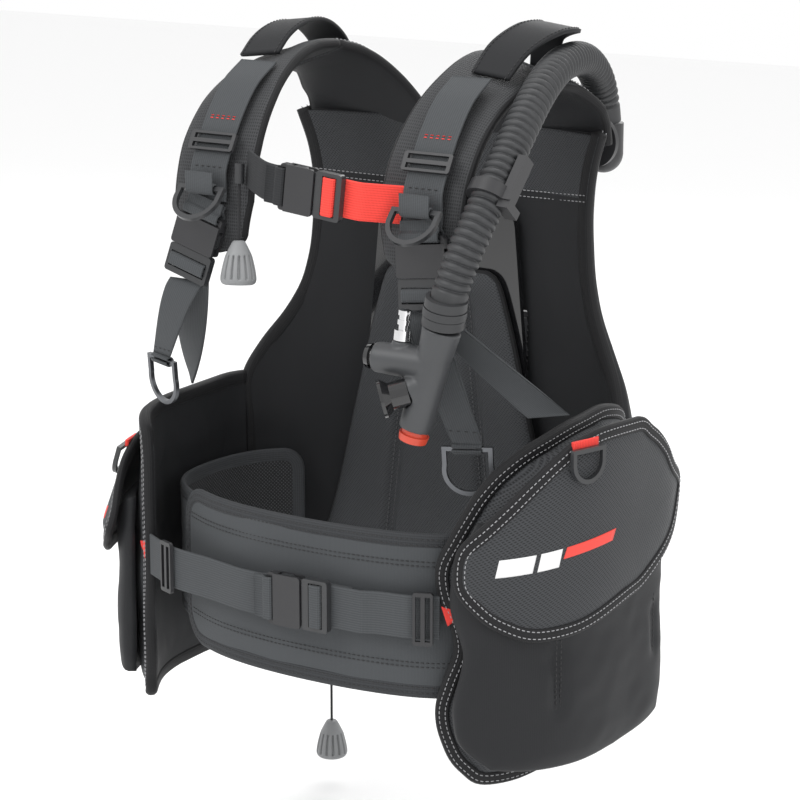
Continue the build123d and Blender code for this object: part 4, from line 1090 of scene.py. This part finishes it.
seam_x = np.abs(np.abs(back_panel.x) - channel_x(back_panel.z))
channel = ease(seam_x / 0.012)
pad_rise = 0.006 + puff(back_panel.away, 0.022, 0.0085) * (0.45 + 0.55 * channel)
pad_rise -= 0.002 * np.exp(-((seam_x / 0.004) ** 2))
pad_rise += waves(back_panel.x, back_panel.z * 0.5, 0.06, 81) * 0.0009 * ease(back_panel.away / 0.02)
pad_mats = ["back_weave", "smooth_nylon"]
back_cushion = back_panel.shell("back_cushion", np.zeros_like(pad_rise), pad_rise, pad_mats)
stuffed(back_cushion, "back_pad")
rim_line = back_panel.points(0.0035).reshape(-1, 3)[back_panel.rim]
rim_up = np.tile([0.0, -1.0, 0.0], (len(rim_line), 1))
bind("back_cushion_binding", rim_line, rim_up, 0.006, closed=True, rows=(0.25, 0.8), width=0.012)
for sign in (-1, 1):
    z = np.linspace(-0.180, 0.105, 90)
    x = sign * channel_x(z)
    for gap in (-0.0032, 0.0032):
        line = np.stack([x + gap, np.full(90, back_panel.depth - 0.0101), z], -1)
        stitch(line, np.tile([0.0, -1.0, 0.0], (90, 1)), "grey_thread")


def natural_spline(points, count):
    """Points along the natural cubic spline through the given points, by chord length."""
    points = np.asarray(points, float)
    t = reach_of(points)
    h = np.diff(t)
    n = len(points)
    a = np.eye(n)
    b = np.zeros_like(points)
    for i in range(1, n - 1):
        a[i, i - 1 : i + 2] = h[i - 1], 2 * (h[i - 1] + h[i]), h[i]
        b[i] = 6 * ((points[i + 1] - points[i]) / h[i] - (points[i] - points[i - 1]) / h[i - 1])
    m = np.linalg.solve(a, b)
    at = np.linspace(0, t[-1], count)
    i = np.clip(np.searchsorted(t, at, side="right") - 1, 0, n - 2)
    l, r, w = (at - t[i])[:, None], (t[i + 1] - at)[:, None], h[i][:, None]
    return (
        m[i] * r**3 / (6 * w) + m[i + 1] * l**3 / (6 * w)
        + (points[i] / w - m[i] * w / 6) * r + (points[i + 1] / w - m[i + 1] * w / 6) * l
    )


BAND_THICK = 0.0048


def upright_band(name, plan, low, high, corner, seed, rows=300, columns=44):
    """A belly band that stands on edge: its plan is a curve in mm, its ends rounded."""
    line = natural_spline(plan, rows) / 1000
    reach = reach_of(line)
    way = unit(np.gradient(line, axis=0))
    out = np.stack([way[:, 1], -way[:, 0]], -1)
    if np.mean(np.sum(out * (line - [0, LOOP_CENTRE_Y]), axis=1)) < 0:
        out = -out
    run = np.minimum(reach, reach[-1] - reach)
    cut = corner * (1 - np.sqrt(np.clip(1 - (1 - np.clip(run / corner, 0, 1)) ** 2, 0, 1)))
    lo, hi = low + cut, high - cut
    v = np.linspace(0, 1, columns)
    z = lo[:, None] + (hi - lo)[:, None] * v
    away = np.minimum(np.minimum(v * (hi - lo)[:, None], (1 - v) * (hi - lo)[:, None]), run[:, None])
    s = np.broadcast_to(reach[:, None], z.shape)
    relief = waves(s, z * 0.7, 0.09, seed) * 0.0012 + waves(s * 0.6, z, 0.03, seed + 1) * 0.0004
    half_t = BAND_THICK / 2 * (0.55 + 0.45 * puff(away, 0.012, 1.0))
    shift = relief * ease(away / 0.015)
    outer = np.concatenate([line[:, None] + out[:, None] * (half_t + shift)[..., None], z[..., None]], -1)
    inner = np.concatenate([line[:, None] - out[:, None] * (half_t - shift)[..., None], z[..., None]], -1)
    ring = ring_of(rows, columns)
    front, back, rim = sheet_faces(rows, columns)
    faces = [front, back, rim[:, ::-1]]
    flip = np.dot(np.cross(np.append(way[5], 0), [0, 0, 1]), np.append(out[5], 0)) < 0
    faces = [f[:, ::-1] if flip else f for f in faces]
    uv = np.stack([s, z], -1).reshape(-1, 2)
    picks = np.r_[np.zeros(len(front), int), np.ones(len(back), int), np.zeros(len(ring), int)]
    verts = np.concatenate([outer.reshape(-1, 3), inner.reshape(-1, 3)])
    uvs = np.concatenate([uv, uv])
    obj = make(name, verts, np.concatenate(faces), ["grey_nylon", "spacer_mesh"], picks, uvs)
    middle = ((outer + inner) / 2).reshape(-1, 3)[ring]
    ups = np.concatenate([np.repeat(out, columns, axis=0), np.zeros((rows * columns, 1))], -1)[ring]

    def level(at_z, first, last):
        """A line round the outside at one height."""
        k = slice(int(first * (rows - 1)), int(last * (rows - 1)) + 1)
        flat, ones = out[k], np.ones((len(line[k]), 1))
        p = np.concatenate([line[k] + flat * (BAND_THICK / 2 + 0.0005), ones * at_z], -1)
        return p, np.concatenate([flat, ones * 0], -1)

    return obj, (middle, ups), level


CUMMERBUND_LEFT = [(150, -142), (180, -172), (196, -232), (190, -300), (160, -352), (100, -377), (30, -384),
                   (-40, -381), (-95, -368), (-142, -344)]
CUMMERBUND_RIGHT = [(-150, -142), (-180, -172), (-196, -232), (-186, -292), (-150, -327), (-100, -350)]
belly_left, rim_left, level_left = upright_band("belly_band_left", CUMMERBUND_LEFT, -0.218, -0.068, 0.034, 91)
belly_right, rim_right, _ = upright_band("belly_band_right", CUMMERBUND_RIGHT, -0.206, -0.082, 0.02, 93,
                                         rows=180)
for word, obj, rim in (("left", belly_left, rim_left), ("right", belly_right, rim_right)):
    stuffed(obj, f"cummerbund_{word}")
    edge_bound(f"belly_binding_{word}", rim, 0.0032, thread="dark_thread", mat="grey_edge")
for z in (-0.092, -0.096, -0.186, -0.190):
    stitch(*level_left(z, 0.44, 0.97), "dark_thread")

# ---------------------------------------------------------------- hose, inflator and pulls
HOSE = [(143, -62, 262), (143.5, -71, 292), (149, -106, 321), (158, -150, 330), (167, -197, 327),
        (176, -250, 307), (180, -306, 261), (176, -350, 208), (166, -371, 160), (158, -374, 124)]
RIB_PITCH, RIB_DEPTH, HOSE_R = 0.0072, 0.0030, 0.0160


def tube(name, line, radii, mat, segments=36):
    """A round tube of varying radius along a line, closed at its ends."""
    way = unit(np.gradient(line, axis=0))
    side = np.zeros_like(line)
    side[0] = unit(np.cross(way[0], [0, 0, 1.0]))
    for i in range(1, len(line)):
        side[i] = unit(side[i - 1] - way[i] * np.dot(side[i - 1], way[i]))
    up = np.cross(way, side)
    turn = np.linspace(0, 2 * np.pi, segments, endpoint=False)
    ring = side[:, None] * np.cos(turn)[None, :, None] + up[:, None] * np.sin(turn)[None, :, None]
    verts = line[:, None] + ring * np.asarray(radii)[:, None, None]
    return make(name, verts.reshape(-1, 3), hoop_faces(len(line), segments, flip=True), [mat])


hose_line = natural_spline(HOSE, 900) / 1000
hose_reach = reach_of(hose_line)
rib = np.abs(np.cos(np.pi * hose_reach / RIB_PITCH)) ** 0.7
ends = ease((hose_reach - 0.012) / 0.004) * ease((hose_reach[-1] - 0.03 - hose_reach) / 0.004)
hose = tube("corrugated_hose", hose_line, HOSE_R - RIB_DEPTH * (1 - rib) * ends, "rubber")
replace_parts(hose, "inflator_hose")

# the inflator's moulded body: the cylinders of its solid, grown together with soft blends
moulding = bpy.data.objects.new("inflator_moulding", NODES["inflator_body"].data.copy())
bpy.context.scene.collection.objects.link(moulding)
remesh = moulding.modifiers.new("grow", "REMESH")
remesh.mode = "VOXEL"
remesh.voxel_size = 0.0011
soften = moulding.modifiers.new("soften", "SMOOTH")
soften.factor = 0.6
soften.iterations = 9
depsgraph = bpy.context.evaluated_depsgraph_get()
grown = bpy.data.meshes.new_from_object(moulding.evaluated_get(depsgraph))
moulding.modifiers.clear()
moulding.data = grown
grown.materials.clear()
grown.materials.append(MAT["moulded"])
for polygon in grown.polygons:
    polygon.material_index = 0
    polygon.use_smooth = True
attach(moulding, "vest")
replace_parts(moulding, "inflator_body")


# (distance from the narrow end, radius) in mm down a pull knob
KNOB_PROFILE = ((0, 2.2), (0.2, 4.6), (1.5, 6.0), (6, 8.4), (11, 10.9), (13, 11.8), (15, 12.5), (18, 13.3),
                (22, 14.3), (26, 15.2), (30, 15.9), (33, 16.3), (34.5, 16.4), (36, 16.3), (38, 15.6),
                (39.4, 14.2), (40, 12.6))


def knob(name, top, way, body):
    """A ribbed pull knob: a cone with a fluted skirt, cord hole at its narrow end."""
    way = unit(np.asarray(way, float))
    side = unit(np.cross(way, [0, 1.0, 0.2]))
    up = np.cross(way, side)
    along, radius = np.array(KNOB_PROFILE).T / 1000
    along_fine = np.interp(np.linspace(0, 1, 60), np.linspace(0, 1, len(along)), along)
    radius_fine = np.interp(along_fine, along, radius)
    count = 192
    turn = np.linspace(0, 2 * np.pi, count, endpoint=False)
    flute = np.clip(np.cos(14 * turn) * 2.2 - 0.6, 0, 1)
    band = ease((along_fine - 0.0125) / 0.002) * ease((0.0355 - along_fine) / 0.002)
    r = radius_fine[:, None] - 0.0026 * band[:, None] * flute[None]
    verts = (
        np.asarray(top)
        + way * along_fine[:, None, None]
        + side * (r * np.cos(turn))[..., None]
        + up * (r * np.sin(turn))[..., None]
    ).reshape(-1, 3)
    return make(name, verts, hoop_faces(len(along_fine), count), ["grey_plastic"], body=body)


SHOULDER_WAY = (0.05779, -0.12383, -0.99062)
shoulder_knob = knob("shoulder_knob", np.array([-70, -354.9, 172.6]) / 1000, SHOULDER_WAY, "shoulder_pull")
lower_knob = knob("lower_knob", np.array([-160, -79, -394]) / 1000, (0, 0, -1), "lower_pull")
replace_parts(shoulder_knob, "shoulder_pull_knob")
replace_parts(lower_knob, "lower_pull_knob")


CORD_R = 0.0013


def pull_cord(name, points, body, node):
    """A free pull cord: one spline through its route."""
    data = bpy.data.curves.new(name, "CURVE")
    data.dimensions = "3D"
    data.bevel_depth = CORD_R
    data.bevel_resolution = 4
    data.resolution_u = 12
    data.use_fill_caps = True
    spline = data.splines.new("NURBS")
    spline.points.add(len(points) - 1)
    for point, at in zip(spline.points, points):
        point.co = (*at, 1)
    spline.order_u = 3
    spline.use_endpoint_u = True
    data.materials.append(MAT["cord"])
    obj = bpy.data.objects.new(name, data)
    bpy.context.scene.collection.objects.link(obj)
    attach(obj, body)
    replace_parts(obj, node)


SHOULDER_ROUTE = [(-0.0735, -0.3475, 0.232), (-0.07175, -0.3512, 0.2023), (-0.07, -0.3549, 0.1726)]
LOWER_ROUTE = [(-0.160, -0.079, z) for z in (-0.262, -0.328, -0.394)]
pull_cord("shoulder_cord", SHOULDER_ROUTE, "shoulder_pull", "shoulder_pull_cord")
pull_cord("lower_cord", LOWER_ROUTE, "lower_pull", "lower_pull_cord")

# ---------------------------------------------------------------- cylinder band
BAND_R = 93.3  # middle of the webbing round the cylinder, in mm
BAND_LEAVES = -19.4  # where the band leaves the cylinder, in degrees
arc_turns = np.radians(np.linspace(BAND_LEAVES, 180 - BAND_LEAVES, 160))
band_plan = [(BAND_R * np.cos(t), BAND_R * np.sin(t)) for t in arc_turns]
band_plan += [(-62.2, -103.0), (-61, -104.9), (-30, -105.1), (30, -105.1), (61, -104.9), (62.2, -103.0)]
band_plan = np.array(band_plan) / 1000
band_path = np.concatenate([band_plan, np.zeros((len(band_plan), 1))], -1)
band_way = unit(np.roll(band_path, -1, axis=0) - np.roll(band_path, 1, axis=0))
band_up = np.stack([band_way[:, 1], -band_way[:, 0], np.zeros(len(band_way))], -1)
band_upper = [(-0.025, 0.0005), (-0.0243, 0.0011), (0.0243, 0.0011), (0.025, 0.0005)]
band_profile = band_upper + [(x, -y) for x, y in band_upper[::-1]]
band = sweep("cylinder_strap", band_path, band_up, band_profile[::-1], ["black_web"], closed=True)
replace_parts(band, "cylinder_band")

# ---------------------------------------------------------------- red tabs, prints and patches
def on_patch(p, outer, corners, name, mat, lift, body="vest", steps=(14, 8)):
    """A thin decal or tab that follows a panel: corners are (angle, z mm) of a quadrilateral, in order."""
    a, b, c, d = np.asarray(corners, float)
    u, v = np.meshgrid(np.linspace(0, 1, steps[0]), np.linspace(0, 1, steps[1]), indexing="ij")
    u, v = u[..., None], v[..., None]
    at = (1 - u) * (1 - v) * a + u * (1 - v) * b + u * v * c + (1 - u) * v * d
    tree = kdtree.KDTree(p.s.size)
    for i, (s, z) in enumerate(zip(p.s.ravel(), p.z.ravel())):
        tree.insert((s, z, 0), i)
    tree.balance()
    flat = outer.ravel()
    offset = np.zeros(at.shape[:2])
    for i in range(steps[0]):
        for j in range(steps[1]):
            near = tree.find_n((float(arc(at[i, j, 0])), at[i, j, 1] / 1000, 0), 4)
            weight = np.array([1 / (n[2] + 1e-5) for n in near])
            offset[i, j] = np.sum(weight * flat[[n[1] for n in near]]) / weight.sum()
    top = on_loop(at[..., 0], at[..., 1] / 1000, offset + lift)
    low = on_loop(at[..., 0], at[..., 1] / 1000, offset - 0.0004)
    for q in (top, low):
        q[..., 0] *= p.side
    front, back, rim = sheet_faces(*steps)
    faces = np.concatenate([front, back, rim[:, ::-1]])
    normal = np.cross(top[1, 0] - top[0, 0], top[0, 1] - top[0, 0])
    if np.dot(normal, top[0, 0] - low[0, 0]) < 0:
        faces = faces[:, ::-1]
    uv = np.stack([arc(at[..., 0]), at[..., 1] / 1000], -1).reshape(-1, 2)
    verts = np.concatenate([top.reshape(-1, 3), low.reshape(-1, 3)])
    make(name, verts, faces, [mat], None, np.concatenate([uv, uv]), body)


# two slanted white bars across the left flap, and a red one at their end
BARS = ((126.5, 117.5, "white_print"), (116.3, 110.8, "white_print"), (109.6, 95.5, "red_print"))
for k, (first, last, mat) in enumerate(BARS):
    low, high = (-72, -56) if mat == "white_print" else (-66, -56)
    rise = (118 - (first + last) / 2) * 0.35
    slope = (first - last) * 0.35 / 2
    foot, head = low - 12 + rise, high - 12 + rise
    bar_corners = [(first, foot - slope), (last, foot + slope), (last - 1.0, head + slope),
                   (first - 1.0, head - slope)]
    on_patch(left_flap_patch, left_flap_outer, bar_corners, f"flap_bar_{k}", mat, 0.0003, "flap_left")
on_patch(right_flap_patch, right_flap_outer, [(108, -122), (117, -114), (117, -102), (108, -110)],
         "flap_bar_right", "red_print", 0.0003, "flap_right")
# a red tab at each flap's ring, and a red gusset at each wing's front edge
for word, flap_patch, flap_outer, drop in (("left", left_flap_patch, left_flap_outer, 0),
                                           ("right", right_flap_patch, right_flap_outer, 72)):
    corners = [(100.4, 21 - drop), (107.4, 21 - drop), (107.4, 27.5 - drop), (100.4, 28.5 - drop)]
    on_patch(flap_patch, flap_outer, corners, f"ring_tab_{word}", "red_cloth", 0.0032, f"flap_{word}")
GUSSETS = (("left", left_patch, left_outer, (141.2, 133.5, 133.5, 139.0)),
           ("right", right_patch, right_outer, (129.8, 122.5, 122.5, 129.2)))
for word, wing_patch, wing_outer, angles in GUSSETS:
    corners = list(zip(angles, (-128, -133, -134, -146)))
    on_patch(wing_patch, wing_outer, corners, f"gusset_{word}", "red_cloth", 0.0016)


# ---------------------------------------------------------------- hard pieces from the CAD
HARD = {
    "backpack_shell": ("gloss_plastic", 0.0012),
    "cam_frame": ("matte_plastic", 0.0008),
    "cam_lever": ("matte_plastic", 0.001),
    "pack_screws": ("steel", 0.0004),
    "chest_buckle_female": ("matte_plastic", 0.0012),
    "chest_buckle_male": ("sheen_plastic", 0.0008),
    "chest_prong_lower": ("sheen_plastic", 0.0006),
    "chest_prong_upper": ("sheen_plastic", 0.0006),
    "waist_buckle_female": ("matte_plastic", 0.0014),
    "waist_buckle_male": ("sheen_plastic", 0.001),
    "waist_prong_lower": ("sheen_plastic", 0.0008),
    "waist_prong_upper": ("sheen_plastic", 0.0008),
    "shoulder_buckles_female": ("matte_plastic", 0.0014),
    "shoulder_buckles_male": ("sheen_plastic", 0.001),
    "shoulder_prongs": ("sheen_plastic", 0.0008),
    "strap_slides": ("matte_plastic", 0.0006),
    "shoulder_ring_left": ("sheen_plastic", 0.0012),
    "shoulder_ring_right": ("sheen_plastic", 0.0012),
    "tail_ring_left": ("dark_steel", 0),
    "tail_ring_right": ("dark_steel", 0),
    "flap_ring_left": ("sheen_plastic", 0.0007),
    "flap_ring_right": ("sheen_plastic", 0.0007),
    "deflate_button": ("red_plastic", 0.0008),
    "inflate_button": ("gloss_plastic", 0.0008),
    "dump_valves": ("matte_plastic", 0.0008),
    "hose_elbow": ("matte_plastic", 0.001),
    "hose_clip": ("matte_plastic", 0.0005),
    "hose_collar": ("rubber", 0.0005),
    "inflator_nipple": ("chrome", 0.0003),
    "mouthpiece": ("gloss_plastic", 0.0006),
    "cord_guide": ("rubber", 0.0006),
}
for name, (material, edge) in HARD.items():
    obj = NODES[name]
    obj.data.materials.clear()
    obj.data.materials.append(MAT[material])
    for polygon in obj.data.polygons:
        polygon.material_index = 0
        polygon.use_smooth = True
    if edge:
        bevel = obj.modifiers.new("worn_edges", "BEVEL")
        bevel.width = edge
        bevel.segments = 2
        bevel.limit_method = "ANGLE"
        bevel.angle_limit = np.radians(38)
        bevel.harden_normals = True
    else:
        obj.modifiers.new("smooth", "EDGE_SPLIT").split_angle = np.radians(50)
sew()


# ---------------------------------------------------------------- floor and light
FLOOR_GAP, FLOOR_REACH = 0.035, 6
meshes = [o for o in bpy.data.objects if o.type == "MESH"]
floor_z = float(min((o.matrix_world @ Vector(c))[2] for o in meshes for c in o.bound_box)) - FLOOR_GAP
floor_mesh = bpy.data.meshes.new("floor")
corners = [(x * FLOOR_REACH, y * FLOOR_REACH, floor_z) for x, y in ((-1, -1), (1, -1), (1, 1), (-1, 1))]
floor_mesh.from_pydata(corners, [], [(0, 1, 2, 3)])
floor_shader = Shader("floor_paper", (0.93, 0.93, 0.93), 0.9)
floor_mesh.materials.append(floor_shader.material)
floor = bpy.data.objects.new("floor", floor_mesh)
bpy.context.scene.collection.objects.link(floor)


def area_light(name, at, to, size, watts):
    data = bpy.data.lights.new(name, "AREA")
    data.shape = "RECTANGLE"
    data.size, data.size_y = size
    data.energy = watts
    lamp = bpy.data.objects.new(name, data)
    bpy.context.scene.collection.objects.link(lamp)
    lamp.location = at
    lamp.rotation_euler = (Vector(to) - Vector(at)).to_track_quat("-Z", "Y").to_euler()


area_light("key", (-0.9, -2.4, 2.2), (0, -0.2, 0), (1.6, 1.6), 34)
area_light("fill", (2.6, -1.6, 1.0), (0, -0.2, 0), (1.4, 2.0), 20)
area_light("top", (0.2, -0.1, 2.6), (0, -0.2, 0), (1.8, 1.8), 22)
area_light("rear", (-0.6, 2.4, 1.6), (0, -0.1, 0), (1.6, 1.6), 20)
world = bpy.data.worlds.new("studio")
world.use_nodes = True
world.node_tree.nodes["Background"].inputs["Color"].default_value = (1, 1, 1, 1)
world.node_tree.nodes["Background"].inputs["Strength"].default_value = 1.0
bpy.context.scene.world = world
bpy.context.scene.view_settings.view_transform = "Standard"
